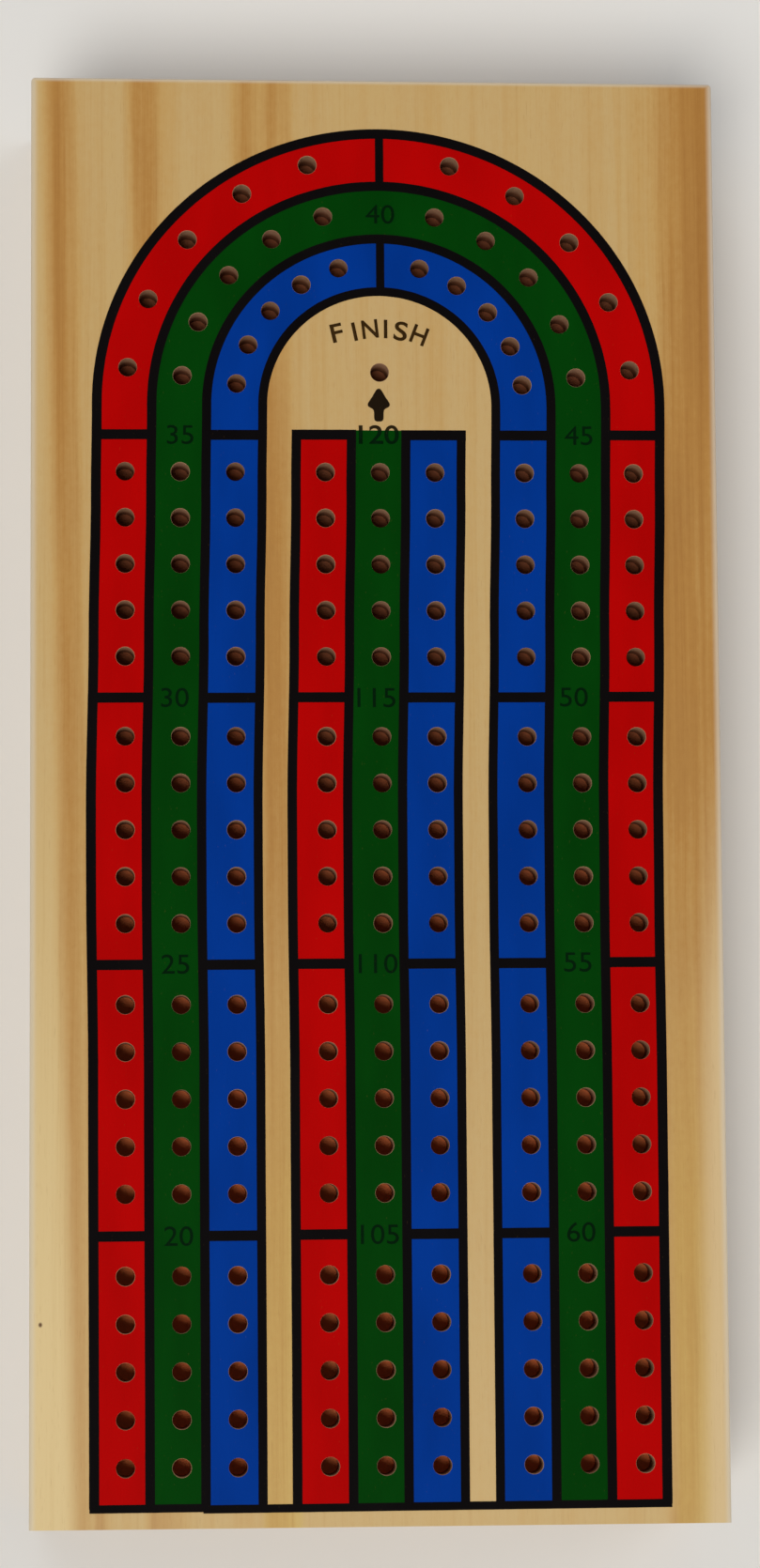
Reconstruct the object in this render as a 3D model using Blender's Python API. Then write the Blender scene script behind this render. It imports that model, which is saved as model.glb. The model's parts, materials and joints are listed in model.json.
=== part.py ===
"""Folding three-track cribbage board, closed, with its hinges, magnets and pegs.

Frame: the board lies closed on a table. X runs across its width, Y along its length from the
hinged seam end (-Y) to the free end (+Y), Z up. The origin is the middle of its footprint, hinge
barrels included, on the plane it rests on, which is the lower half's playing face. The upper half
turns about the hinge pins, along +X at the seam end, from 0 (closed) to 180 degrees (opened flat).

Lengths are in millimetres and are scaled to metres as each mesh is made. "Left" is -X and
"right" is +X. A half is given by its sign, up: -1 for the lower half, +1 for the upper.
"""

import math

import bmesh
import bpy
from mathutils import Matrix, Vector

MM = 0.001
SMOOTH_ANGLE = 40       # degrees: sharper edges stay sharp in the shading
SIDES = (("left", -1), ("right", 1))
HALVES = (("lower", -1), ("upper", 1))

# ---------------------------------------------------------------- the two halves
WIDTH = 88.8            # across X
LENGTH = 186.3          # one half, along Y
HALF_T = 15.85          # thickness of one half
CLOSED_T = 32.0         # thickness of the closed board
ARRIS = 0.5             # easing of the playing face's outer edges and the free end's corners
ARRIS_SEGMENTS = 2

# ---------------------------------------------------------------- playing faces
# Three lanes, holes in groups of five. Distances ending in _D are from the seam end.
TRACK_X = 0.6           # the track's centreline
LANE = 7.095            # spacing between neighbouring lanes
MIDDLE_R = 25.80        # middle lane's arc radius, and its distance from the track's centreline
PITCH = 6.0             # hole to hole along a lane
GROUP_HOLES = 5
GROUP = 34.33           # group to group
UPPER_GROUPS = 4
LOWER_GROUPS = 3
ARC_TO_HOLE = 8.84      # an arc's base line to the nearest straight hole
ARC_D = 143.4           # upper half's arc centre
ARC_STEP = 16.3435      # degrees between arc holes, counted from the top
ARC_HOLES = 5           # each side of the top
FINISH_UP = 4.27        # finish hole beyond the arc's base line
# hole nearest the seam
FIRST_D = ARC_D - (ARC_TO_HOLE + (UPPER_GROUPS - 1) * GROUP + (GROUP_HOLES - 1) * PITCH)
TURN_D = FIRST_D + (LOWER_GROUPS - 1) * GROUP + (GROUP_HOLES - 1) * PITCH + ARC_TO_HOLE
TURN_R = MIDDLE_R / 2   # middle lane of the lower half's turn
TURN_HOLES = 5
TURN_STEP = 180 / TURN_HOLES    # degrees
START_D = FIRST_D + LOWER_GROUPS * GROUP
GAMES_D = 150.0         # first row of the games tally on the lower half
GAMES_ROW = 8.0
GAMES_ROWS = 3
GAMES_HOLES = 7         # in a row

HOLE_R = 1.2
HOLE_DEPTH = 5.2
HOLE_POINT = 0.45       # drill point below the straight wall
HOLE_OVER = 1.0         # cutter beyond the playing face
HOLE_SIDES = 8

# ---------------------------------------------------------------- recesses in the inner faces
BLOCK = 22.0            # solid wood at the seam end, which takes the hinge screws
WELL_W = 66.0           # card well
WELL_DEPTH = 9.0
WELL_R = 4.0
LOWER_WELL_L = 92.0
UPPER_WELL_L = 143.0    # long enough to give the pegs headroom too
POCKET_W = 14.0         # one peg pocket for each colour
POCKET_L = 33.0
POCKET_DEPTH = 6.5
POCKET_R = 3.0
POCKET_STEP = 18.0
POCKET_D = 138.0        # pocket centres, from the seam end
WELL_CORNER_STEPS = 3
POCKET_CORNER_STEPS = 2
RECESS_OVER = 2.0       # cutters beyond the inner face

# ---------------------------------------------------------------- hinges
HINGE_X = 25.5          # hinge centres, either side of the middle
LEAF_W = 20.0
LEAF_L = 14.0           # from the pin's axis
LEAF_T = 0.6
LEAF_SET = 0.1          # leaf's face below the wood's inner face
TAB_Y = 0.72            # pin axis to the leaf's near edge where it joins its own knuckles
MORTISE_GAP = 0.12
MORTISE_OVER_Y = 2.0    # mortise cutter beyond the pin axis
MORTISE_OVER_Z = 0.6
BARREL_R = 1.1
BARREL_SIDES = 16
BARREL_CLEAR = 1.32     # round notch in the wood around the barrel
NOTCH_STEPS = 4
PIN_R = 0.5
PIN_SHORT = 0.1         # pin's ends inside the barrel's ends
BORE_R = 0.55
BORE_OVER = 1.0
PIN_SIDES = 12
KNUCKLE_MID = 6.6       # upper leaf's single knuckle
KNUCKLE_GAP = 0.2
SEAM_GAP = 0.15         # pin axis to each half's end face

# screws, two to a leaf; depths are from the leaf's face
SCREW_X = 5.6           # either side of the hinge's centre
SCREW_Y = 8.2           # from the pin axis
HEAD_R = 1.7
HEAD_SET = 0.03         # head below the leaf's face
HEAD_H = 0.7            # height of the head's cone
SHANK_R = 1.0
SCREW_L = 5.6
SCREW_POINT_L = 1.2
SCREW_TIP_R = 0.25
SCREW_SIDES = 12
SINK_GAP = 0.28         # countersink's radius beyond the head's cone
SINK_OVER = 0.05        # countersink cutter beyond both faces of the leaf
SLOT_W = 0.42
SLOT_CUT_H = 0.6        # slot cutter's height, centred on the leaf's face
SLOT_OVER = 0.5
SLOT_TURNS = (65, 105)  # degrees, one for each screw of a leaf
PILOT_R = 1.18
PILOT_SIDES = 10
PILOT_EXTRA = 0.5       # pilot hole beyond the screw's tip
PILOT_OVER = 0.4

# ---------------------------------------------------------------- magnets, two to a half
MAGNET_X = 30.0
MAGNET_FROM_END = 9.0
MAGNET_R = 2.45
MAGNET_T = 2.0
MAGNET_CHAMFER = 0.2
MAGNET_GAP = 0.12       # all round in its pocket
MAGNET_SIDES = 16

# ---------------------------------------------------------------- pegs, three to a pocket
PEG_STEP = 4.3
PEG_STAGGER = 0.7       # each peg's shift along -Y from the one on its left
PEG_FAN = 1.1           # degrees between neighbouring pegs
PEG_LEAN = 1.9          # degrees: brings the thin tip about as near the floor as the head bead
PEG_SETTLE = 0.22       # peg's middle below the head bead's radius
PEG_SIDES = 10
PEG_PROFILE = [         # distance from the tip, radius
    (0.0, 0.55), (0.35, 0.92), (9.0, 1.08), (21.6, 1.55), (22.6, 1.10),
    (23.4, 1.45), (24.6, 1.75), (26.2, 1.45), (27.0, 0.75),
]

# ---------------------------------------------------------------- derived positions
BARREL_OUT = SEAM_GAP + BARREL_R * math.cos(math.pi / BARREL_SIDES)     # beyond the seam end
SEAM_Y = BARREL_OUT - (LENGTH + BARREL_OUT) / 2
FREE_Y = SEAM_Y + LENGTH
AXIS_Y = SEAM_Y - SEAM_GAP
AXIS_Z = CLOSED_T / 2
MAGNET_Y = FREE_Y - MAGNET_FROM_END


# ---------------------------------------------------------------- scene helpers
def clear_scene():
    for obj in list(bpy.data.objects):
        bpy.data.objects.remove(obj, do_unlink=True)
    for mesh in list(bpy.data.meshes):
        bpy.data.meshes.remove(mesh)
    for mat in list(bpy.data.materials):
        bpy.data.materials.remove(mat)


def material(name, colour, roughness, metallic=0.0):
    mat = bpy.data.materials.new(name)
    mat.use_nodes = True
    bsdf = mat.node_tree.nodes["Principled BSDF"]
    bsdf.inputs["Base Color"].default_value = (*colour, 1.0)
    bsdf.inputs["Roughness"].default_value = roughness
    bsdf.inputs["Metallic"].default_value = metallic
    mat.diffuse_color = (*colour, 1.0)
    return mat


def add_object(name, bm):
    """Turns a bmesh in millimetres into an object in metres."""
    bmesh.ops.scale(bm, vec=(MM, MM, MM), verts=bm.verts)
    bmesh.ops.recalc_face_normals(bm, faces=bm.faces)
    mesh = bpy.data.meshes.new(name)
    bm.to_mesh(mesh)
    bm.free()
    obj = bpy.data.objects.new(name, mesh)
    bpy.context.scene.collection.objects.link(obj)
    return obj


def add_piece(name, bm, mat, parent):
    """A visible piece, which stays in place under its half's empty."""
    piece = add_object(name, bm)
    piece.data.shade_smooth()
    piece.data.set_sharp_from_angle(angle=math.radians(SMOOTH_ANGLE))
    piece.data.materials.append(mat)
    piece.parent = parent
    piece.matrix_parent_inverse = parent.matrix_world.inverted()
    return piece


def combine(piece, tool_name, bm, operation="DIFFERENCE"):
    """Makes a hidden tool from the bmesh and applies it to the piece as a boolean modifier."""
    tool = add_object(tool_name, bm)
    tool.hide_render = True
    tool.display_type = "WIRE"
    mod = piece.modifiers.new(tool.name, "BOOLEAN")
    mod.operation = operation
    mod.solver = "EXACT"
    mod.object = tool


# ---------------------------------------------------------------- shape helpers
def add_box(bm, size, matrix):
    bmesh.ops.create_cube(bm, size=1.0)
    bmesh.ops.scale(bm, vec=size, verts=bm.verts)
    bmesh.ops.transform(bm, matrix=matrix, verts=bm.verts)


def add_prism(bm, outline, low, high, axis="Z"):
    """Extrudes a closed outline along Z (outline in X, Y) or along X (outline in Y, Z)."""
    def place(a, b, along):
        return (a, b, along) if axis == "Z" else (along, a, b)

    face = bm.faces.new([bm.verts.new(place(a, b, low)) for a, b in outline])
    extruded = bmesh.ops.extrude_face_region(bm, geom=[face])["geom"]
    top = [v for v in extruded if isinstance(v, bmesh.types.BMVert)]
    bmesh.ops.translate(bm, vec=place(0.0, 0.0, high - low), verts=top)


def circle(cx, cy, radius, sides):
    """Polygon with a flat, not a corner, facing its first direction."""
    angles = [2 * math.pi * (i + 0.5) / sides for i in range(sides)]
    return [(cx + radius * math.cos(a), cy + radius * math.sin(a)) for a in angles]


def rounded_rect(cx, cy, width, length, radius, steps):
    points = []
    for side_x, side_y, start in ((1, 1, 0), (-1, 1, 90), (-1, -1, 180), (1, -1, 270)):
        corner_x = cx + side_x * (width / 2 - radius)
        corner_y = cy + side_y * (length / 2 - radius)
        for i in range(steps + 1):
            a = math.radians(start + 90 * i / steps)
            points.append((corner_x + radius * math.cos(a), corner_y + radius * math.sin(a)))
    return points


def add_rings(bm, profile, sides, matrix):
    """Skin about local +Z through (height, radius) pairs, open at its far end."""
    rings = [
        [bm.verts.new(matrix @ Vector((x, y, height))) for x, y in circle(0, 0, radius, sides)]
        for height, radius in profile
    ]
    for ring, following in zip(rings, rings[1:]):
        for i in range(sides):
            j = (i + 1) % sides
            bm.faces.new((ring[i], ring[j], following[j], following[i]))
    bm.faces.new(list(reversed(rings[0])))
    return rings[-1]


def add_turned(bm, profile, sides, matrix):
    """Solid of revolution about local +Z, closed with flat ends."""
    bm.faces.new(add_rings(bm, profile, sides, matrix))


def place_at(x, y, z, down):
    """Matrix that moves to a point and, if down, turns local +Z to point down."""
    turn = Matrix.Rotation(math.pi, 4, "X") if down else Matrix.Identity(4)
    return Matrix.Translation((x, y, z)) @ turn


def for_half(up, z):
    """Height in the given half that matches height z in the lower half."""
    return CLOSED_T - z if up > 0 else z


def inner_span(up, depth, over):
    """Low and high Z, from depth inside the wood to over beyond its inner face."""
    inner_z = for_half(up, HALF_T)
    return sorted((inner_z + up * depth, inner_z - up * over))


# ---------------------------------------------------------------- peg holes, as (x, distance)
LANE_OFFSETS = (-LANE, 0.0, LANE)
LEFT_LANES, CENTRE_LANES, RIGHT_LANES = (
    [TRACK_X + middle + offset for offset in LANE_OFFSETS]
    for middle in (-MIDDLE_R, 0.0, MIDDLE_R)
)


def straight_holes(start, direction, groups):
    """The nine straight lanes, from a starting distance away from (+1) or to (-1) the seam."""
    return [
        (x, start + direction * (GROUP * group + PITCH * i))
        for x in LEFT_LANES + CENTRE_LANES + RIGHT_LANES
        for group in range(groups)
        for i in range(GROUP_HOLES)
    ]


def arc_holes(centre_x, centre_d, middle_radius, degrees):
    """Three concentric lanes with a hole at each angle, counted from +X."""
    return [
        (centre_x + radius * math.cos(math.radians(a)), centre_d + radius * math.sin(math.radians(a)))
        for radius in (middle_radius + offset for offset in LANE_OFFSETS)
        for a in degrees
    ]


def upper_holes():
    holes = straight_holes(ARC_D - ARC_TO_HOLE, -1, UPPER_GROUPS)
    degrees = [90 - side * ARC_STEP * i for side in (-1, 1) for i in range(1, ARC_HOLES + 1)]
    holes += arc_holes(TRACK_X, ARC_D, MIDDLE_R, degrees)
    holes.append((TRACK_X, ARC_D + FINISH_UP))
    return holes


def lower_holes():
    holes = straight_holes(FIRST_D, 1, LOWER_GROUPS)
    # the turn that joins the right column to the centre column
    degrees = [TURN_STEP * (i + 0.5) for i in range(TURN_HOLES)]
    holes += arc_holes(TRACK_X + TURN_R, TURN_D, TURN_R, degrees)
    # two start holes to a lane, beyond the left column's last group
    for x in LEFT_LANES:
        holes += [(x, START_D), (x, START_D + PITCH)]
    # games tally, one row to a colour
    for row in range(GAMES_ROWS):
        for i in range(GAMES_HOLES):
            x = TRACK_X + LANE * (i - (GAMES_HOLES - 1) / 2)
            holes.append((x, GAMES_D + GAMES_ROW * row))
    return holes


# ---------------------------------------------------------------- the wooden halves
def board_blank(up):
    """A plain half with its outer edges eased; the seam end stays square."""
    playing_z = for_half(up, 0.0)
    middle = ((SEAM_Y + FREE_Y) / 2, for_half(up, HALF_T / 2))
    bm = bmesh.new()
    add_box(bm, (WIDTH, LENGTH, HALF_T), Matrix.Translation((0, *middle)))
    eased = []
    for edge in bm.edges:
        mid = (edge.verts[0].co + edge.verts[1].co) / 2
        outer = abs(mid.z - playing_z) < 1e-3 and mid.y > SEAM_Y + 1e-3
        upright = abs(mid.y - FREE_Y) < 1e-3 and abs(abs(mid.x) - WIDTH / 2) < 1e-3
        if outer or upright:
            eased.append(edge)
    bmesh.ops.bevel(
        bm, geom=eased, offset=ARRIS, segments=ARRIS_SEGMENTS, profile=0.5, affect="EDGES"
    )
    return bm


def peg_hole_cutter(up, holes):
    """Blind holes in the playing face, each with a drill point."""
    bm = bmesh.new()
    for x, distance in holes:
        place = place_at(x, SEAM_Y + distance, for_half(up, 0.0), down=up > 0)
        profile = [(-HOLE_OVER, HOLE_R), (HOLE_DEPTH, HOLE_R)]
        rim = add_rings(bm, profile, HOLE_SIDES, place)
        tip = bm.verts.new(place @ Vector((0, 0, HOLE_DEPTH + HOLE_POINT)))
        for i in range(HOLE_SIDES):
            bm.faces.new((rim[i], rim[(i + 1) % HOLE_SIDES], tip))
    return bm


def mortise_outline(up):
    """YZ outline of a leaf's mortise and the round notch for the barrel."""
    floor = HALF_T - LEAF_SET - LEAF_T - MORTISE_GAP
    far = AXIS_Y + LEAF_L + MORTISE_GAP
    start = -math.asin((AXIS_Z - floor) / BARREL_CLEAR)
    points = [(far, AXIS_Z + MORTISE_OVER_Z), (far, floor)]
    for i in range(NOTCH_STEPS + 1):
        a = start + (-math.pi / 2 - start) * i / NOTCH_STEPS
        points.append((AXIS_Y + BARREL_CLEAR * math.cos(a), AXIS_Z + BARREL_CLEAR * math.sin(a)))
    points.append((AXIS_Y - MORTISE_OVER_Y, AXIS_Z - BARREL_CLEAR))
    points.append((AXIS_Y - MORTISE_OVER_Y, AXIS_Z + MORTISE_OVER_Z))
    return [(y, for_half(up, z)) for y, z in points]


def recess_cutter(up):
    """Card well, peg pockets (lower half only), hinge mortises and magnet pockets."""
    bm = bmesh.new()
    well_l = UPPER_WELL_L if up > 0 else LOWER_WELL_L
    well_y = SEAM_Y + BLOCK + well_l / 2
    well = rounded_rect(0, well_y, WELL_W, well_l, WELL_R, WELL_CORNER_STEPS)
    add_prism(bm, well, *inner_span(up, WELL_DEPTH, RECESS_OVER))
    if up < 0:
        for i in (-1, 0, 1):
            pocket = rounded_rect(
                i * POCKET_STEP, SEAM_Y + POCKET_D, POCKET_W, POCKET_L, POCKET_R,
                POCKET_CORNER_STEPS,
            )
            add_prism(bm, pocket, *inner_span(up, POCKET_DEPTH, RECESS_OVER))
    reach = LEAF_W / 2 + MORTISE_GAP
    for _, side in SIDES:
        cx = side * HINGE_X
        add_prism(bm, mortise_outline(up), cx - reach, cx + reach, axis="X")
    for _, side in SIDES:
        pocket = circle(side * MAGNET_X, MAGNET_Y, MAGNET_R + MAGNET_GAP, MAGNET_SIDES)
        add_prism(bm, pocket, *inner_span(up, MAGNET_T + 2 * MAGNET_GAP, RECESS_OVER))
    return bm


def pilot_cutter(up):
    """Pilot holes for the hinge screws."""
    bm = bmesh.new()
    depth = LEAF_SET + SCREW_L + PILOT_EXTRA
    for _, side in SIDES:
        for x in (-SCREW_X, SCREW_X):
            pilot = circle(side * HINGE_X + x, AXIS_Y + SCREW_Y, PILOT_R, PILOT_SIDES)
            add_prism(bm, pilot, *inner_span(up, depth, PILOT_OVER))
    return bm


def make_board(name, up, holes, wood, parent):
    board = add_piece(name, board_blank(up), wood, parent)
    combine(board, name + "_peg_holes", peg_hole_cutter(up, holes))
    combine(board, name + "_recesses", recess_cutter(up))
    combine(board, name + "_pilots", pilot_cutter(up))


# ---------------------------------------------------------------- hinges
def screw_places(cx, up):
    """Frames of a leaf's two screws: origin on the leaf's face, local +Z into the wood."""
    face_z = for_half(up, HALF_T - LEAF_SET)
    return [place_at(cx + x, AXIS_Y + SCREW_Y, face_z, down=up < 0) for x in (-SCREW_X, SCREW_X)]


def make_leaf(name, cx, up, brass, parent):
    # the lower leaf has a knuckle at each end, the upper leaf one in the middle
    tab, clear, far = AXIS_Y + TAB_Y, AXIS_Y + BARREL_CLEAR, AXIS_Y + LEAF_L
    end = LEAF_W / 2
    if up < 0:
        mid = KNUCKLE_MID / 2 + KNUCKLE_GAP
        knuckles = [(-end, -mid), (mid, end)]
        end_y, mid_y = tab, clear
    else:
        mid = KNUCKLE_MID / 2
        knuckles = [(-mid, mid)]
        end_y, mid_y = clear, tab
    outline = [
        (-end, end_y), (-mid, end_y), (-mid, mid_y), (mid, mid_y),
        (mid, end_y), (end, end_y), (end, far), (-end, far),
    ]
    bm = bmesh.new()
    low, high = inner_span(up, LEAF_SET + LEAF_T, over=-LEAF_SET)
    add_prism(bm, [(cx + x, y) for x, y in outline], low, high)
    leaf = add_piece(name, bm, brass, parent)

    bm = bmesh.new()
    barrel = circle(AXIS_Y, AXIS_Z, BARREL_R, BARREL_SIDES)
    for left, right in knuckles:
        add_prism(bm, barrel, cx + left, cx + right, axis="X")
    combine(leaf, name + "_knuckles", bm, "UNION")

    bm = bmesh.new()
    reach = end + BORE_OVER
    bore = circle(AXIS_Y, AXIS_Z, BORE_R, PIN_SIDES)
    add_prism(bm, bore, cx - reach, cx + reach, axis="X")
    combine(leaf, name + "_bore", bm)

    bm = bmesh.new()
    slope = (HEAD_R - SHANK_R) / HEAD_H
    profile = [
        (depth, HEAD_R + SINK_GAP - slope * depth) for depth in (-SINK_OVER, LEAF_T + SINK_OVER)
    ]
    for place in screw_places(cx, up):
        add_turned(bm, profile, SCREW_SIDES, place)
    combine(leaf, name + "_countersinks", bm)


def make_screw(label, place, slot_turn, steel, parent):
    """Countersunk screw with a slot across the head."""
    profile = [
        (HEAD_SET, HEAD_R), (HEAD_SET + HEAD_H, SHANK_R),
        (SCREW_L - SCREW_POINT_L, SHANK_R), (SCREW_L, SCREW_TIP_R),
    ]
    bm = bmesh.new()
    add_turned(bm, profile, SCREW_SIDES, place)
    screw = add_piece("screw_" + label, bm, steel, parent)
    bm = bmesh.new()
    turn = Matrix.Rotation(math.radians(slot_turn), 4, "Z")
    add_box(bm, (SLOT_W, 2 * (HEAD_R + SLOT_OVER), SLOT_CUT_H), place @ turn)
    combine(screw, "slot_" + label, bm)


def make_pin(name, cx, steel, parent):
    bm = bmesh.new()
    reach = LEAF_W / 2 - PIN_SHORT
    add_prism(bm, circle(AXIS_Y, AXIS_Z, PIN_R, PIN_SIDES), cx - reach, cx + reach, axis="X")
    add_piece(name, bm, steel, parent)


def make_hinge(side_name, side, brass, steel, parents):
    cx = side * HINGE_X
    for half, up in HALVES:
        make_leaf(f"hinge_{side_name}_{half}_leaf", cx, up, brass, parents[half])
        for n, (place, turn) in enumerate(zip(screw_places(cx, up), SLOT_TURNS), 1):
            make_screw(f"{side_name}_{half}_{n}", place, turn, steel, parents[half])
    make_pin(f"hinge_{side_name}_pin", cx, steel, parents["lower"])


# ---------------------------------------------------------------- magnets and pegs
def make_magnet(name, side, up, nickel, parent):
    base_z, _ = inner_span(up, MAGNET_GAP + MAGNET_T, over=-MAGNET_GAP)
    end_r = MAGNET_R - MAGNET_CHAMFER
    profile = [
        (0, end_r), (MAGNET_CHAMFER, MAGNET_R),
        (MAGNET_T - MAGNET_CHAMFER, MAGNET_R), (MAGNET_T, end_r),
    ]
    bm = bmesh.new()
    place = Matrix.Translation((side * MAGNET_X, MAGNET_Y, base_z))
    add_turned(bm, profile, MAGNET_SIDES, place)
    add_piece(name, bm, nickel, parent)


def make_pegs(colour, pocket, paint, parent):
    """Three pegs side by side in a pocket, the middle one turned end for end."""
    length = PEG_PROFILE[-1][0]
    head_r = max(radius for _, radius in PEG_PROFILE)
    z = HALF_T - POCKET_DEPTH + head_r - PEG_SETTLE
    along_y = Matrix.Rotation(math.radians(-90), 4, "X")
    centre = Matrix.Translation((0, -length / 2, 0))
    lean = Matrix.Rotation(math.radians(PEG_LEAN), 4, "X")
    for i in (-1, 0, 1):
        # the left pocket's pegs fan the other way
        degrees = (180 if i == 0 else 0) + PEG_FAN * i * (pocket or 1)
        turn = Matrix.Rotation(math.radians(degrees), 4, "Z")
        x = pocket * POCKET_STEP + PEG_STEP * i
        place = Matrix.Translation((x, SEAM_Y + POCKET_D - PEG_STAGGER * i, z))
        bm = bmesh.new()
        add_turned(bm, PEG_PROFILE, PEG_SIDES, place @ turn @ lean @ centre @ along_y)
        add_piece(f"peg_{colour}_{i + 2}", bm, paint, parent)


def make_half_empty(name):
    """Empty on the hinge axis, which carries everything fixed to one half."""
    empty = bpy.data.objects.new(name, None)
    empty.location = (0, AXIS_Y * MM, AXIS_Z * MM)
    bpy.context.scene.collection.objects.link(empty)
    return empty


def main():
    clear_scene()
    pine = material("pine", colour=(0.52, 0.33, 0.13), roughness=0.5)
    brass = material("brass", colour=(0.62, 0.45, 0.16), roughness=0.35, metallic=1.0)
    steel = material("steel", colour=(0.55, 0.55, 0.56), roughness=0.3, metallic=1.0)
    nickel = material("nickel", colour=(0.66, 0.66, 0.68), roughness=0.25, metallic=1.0)
    peg_colours = (     # name, pocket counted from the middle, colour
        ("red", -1, (0.36, 0.004, 0.004)),
        ("green", 0, (0.003, 0.08, 0.01)),
        ("blue", 1, (0.004, 0.05, 0.28)),
    )

    parents = {half: make_half_empty(half + "_half") for half, _ in HALVES}
    bpy.context.view_layer.update()     # the parent inverses need the empties' world matrices

    make_board("lower_board", -1, lower_holes(), pine, parents["lower"])
    make_board("upper_board", 1, upper_holes(), pine, parents["upper"])
    for side_name, side in SIDES:
        make_hinge(side_name, side, brass, steel, parents)
        for half, up in HALVES:
            make_magnet(f"magnet_{half}_{side_name}", side, up, nickel, parents[half])
    for name, pocket, colour in peg_colours:
        paint = material("peg_" + name, colour=colour, roughness=0.35)
        make_pegs(name, pocket, paint, parents["lower"])


main()
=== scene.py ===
"""Folding cribbage board, folded shut: two drilled pine halves with printed lanes, two brass butt
hinges, magnets, screws and nine pegs.

The halves lie on each other, Z up, with the lower half's playing face at z = 0 and the upper
half's on top. Left is -X. The hinged seam runs along X at the -Y end, and the free end is at +Y.
Lengths are in millimetres until mesh_of turns them into metres.
"""
import json
import math

import bmesh
import bpy
import numpy as np
from mathutils import Matrix, Vector, geometry, noise


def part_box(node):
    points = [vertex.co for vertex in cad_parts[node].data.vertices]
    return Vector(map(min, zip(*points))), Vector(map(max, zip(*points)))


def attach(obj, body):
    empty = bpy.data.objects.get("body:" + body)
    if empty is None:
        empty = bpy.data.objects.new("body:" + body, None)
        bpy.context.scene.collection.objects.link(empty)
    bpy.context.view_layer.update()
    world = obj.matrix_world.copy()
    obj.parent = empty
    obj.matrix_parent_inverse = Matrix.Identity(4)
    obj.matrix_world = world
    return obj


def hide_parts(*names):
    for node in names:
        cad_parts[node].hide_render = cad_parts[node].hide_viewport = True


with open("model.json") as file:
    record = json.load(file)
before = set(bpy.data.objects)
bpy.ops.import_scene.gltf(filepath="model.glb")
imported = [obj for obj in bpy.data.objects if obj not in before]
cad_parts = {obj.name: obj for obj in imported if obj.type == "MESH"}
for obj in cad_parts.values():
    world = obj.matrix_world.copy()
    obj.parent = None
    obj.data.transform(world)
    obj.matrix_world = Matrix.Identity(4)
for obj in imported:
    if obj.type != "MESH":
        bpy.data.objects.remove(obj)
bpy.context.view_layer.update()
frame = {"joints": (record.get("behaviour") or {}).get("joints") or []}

# ------------------------------------------------------------------ sizes
MM = 0.001
UPPER, LOWER = 1, -1               # which half; also the way its playing face looks along Z
HALF_NAME = {UPPER: "upper", LOWER: "lower"}

# boards and fold, from the frame
upper_min, upper_max = [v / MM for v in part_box("upper_board")]
lower_min, lower_max = [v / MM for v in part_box("lower_board")]
fold = next(j for j in frame["joints"] if j["name"] == "fold")
AXIS_Y, AXIS_Z = fold["pos_m"][1] / MM, fold["pos_m"][2] / MM
SEAM_Y, FREE_Y = upper_min.y, upper_max.y
WIDTH, LENGTH = upper_max.x - upper_min.x, upper_max.y - upper_min.y
CLOSED_T = upper_max.z
HALF_T = lower_max.z - lower_min.z
ARRIS, INNER_ARRIS = 0.5, 0.14

# peg holes: *_D is a distance from the seam
TRACK_X = 0.6                      # middle of the track
LANE = 7.095
R_GREEN = 25.80                    # middle lane of the arch
PITCH, GROUP = 6.0, 34.33          # hole to hole, and first hole to first hole of groups of five
ARC_TO_HOLE = 8.84
ARC_D, ARC_STEP = 143.4, 16.3435
FINISH_UP = 4.27
FIRST_D = ARC_D - (ARC_TO_HOLE + 3 * GROUP + 4 * PITCH)
LAST_D = FIRST_D + 2 * GROUP + 4 * PITCH
TURN_D, TURN_STEP = LAST_D + ARC_TO_HOLE, 36.0
START_GAP = GROUP - 4 * PITCH
START_D = LAST_D + START_GAP
GAMES_D, GAMES_ROW, GAMES_HOLES = 150.0, 8.0, 7
HOLE_R, HOLE_DEPTH = 1.2, 5.2
COLUMN_X = [TRACK_X - R_GREEN, TRACK_X, TRACK_X + R_GREEN]

# recesses in the inner faces
BLOCK = 22.0                       # solid wood between the seam and the well
WELL_W, WELL_DEPTH, WELL_R = 66.0, 9.0, 4.0
WELL_L = {UPPER: 143.0, LOWER: 92.0}
POCKET_W, POCKET_L, POCKET_DEPTH, POCKET_R = 14.0, 33.0, 6.5, 3.0
POCKET_STEP, POCKET_D = 18.0, 138.0

# hinges, screws, magnets, pegs
HINGE_X, LEAF_W, LEAF_L, LEAF_T, LEAF_SET = 25.5, 20.0, 14.0, 0.6, 0.1
LEAF_FACE = HALF_T - LEAF_SET
MORTISE_GAP, BARREL_R, BARREL_CLEAR, PIN_R, BORE_R = 0.12, 1.1, 1.32, 0.5, 0.55
KNUCKLE_MID, KNUCKLE_GAP = 6.6, 0.2
SCREW_X, SCREW_Y, HEAD_R, SHANK_R, SCREW_L, PILOT_R = 5.6, 8.2, 1.7, 1.0, 5.6, 1.18
MAGNET_X, MAGNET_FROM_END, MAGNET_R, MAGNET_T, MAGNET_GAP = 30.0, 9.0, 2.45, 2.0, 0.12
PEG_STEP, PEG_LEAN = 4.3, 1.9

# A playing face is drawn flat, x across, z out of the face and y zero at the seam.
# The upper half lies at +y of the drawing and the lower half at -y.
PLACE = {
    UPPER: Matrix.Translation((0, SEAM_Y, CLOSED_T)),
    LOWER: Matrix.Translation((0, SEAM_Y, 0)) @ Matrix.Rotation(math.pi, 4, "X"),
}


def level(height, half):
    """A height in the lower half, or its mirror image in the upper half."""
    return height if half == LOWER else CLOSED_T - height


# ------------------------------------------------------------------ mesh helpers
def new_object(name, mesh, mats):
    obj = bpy.data.objects.new(name, mesh)
    bpy.context.scene.collection.objects.link(obj)
    for mat in mats:
        mesh.materials.append(mat)
    return obj


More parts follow.
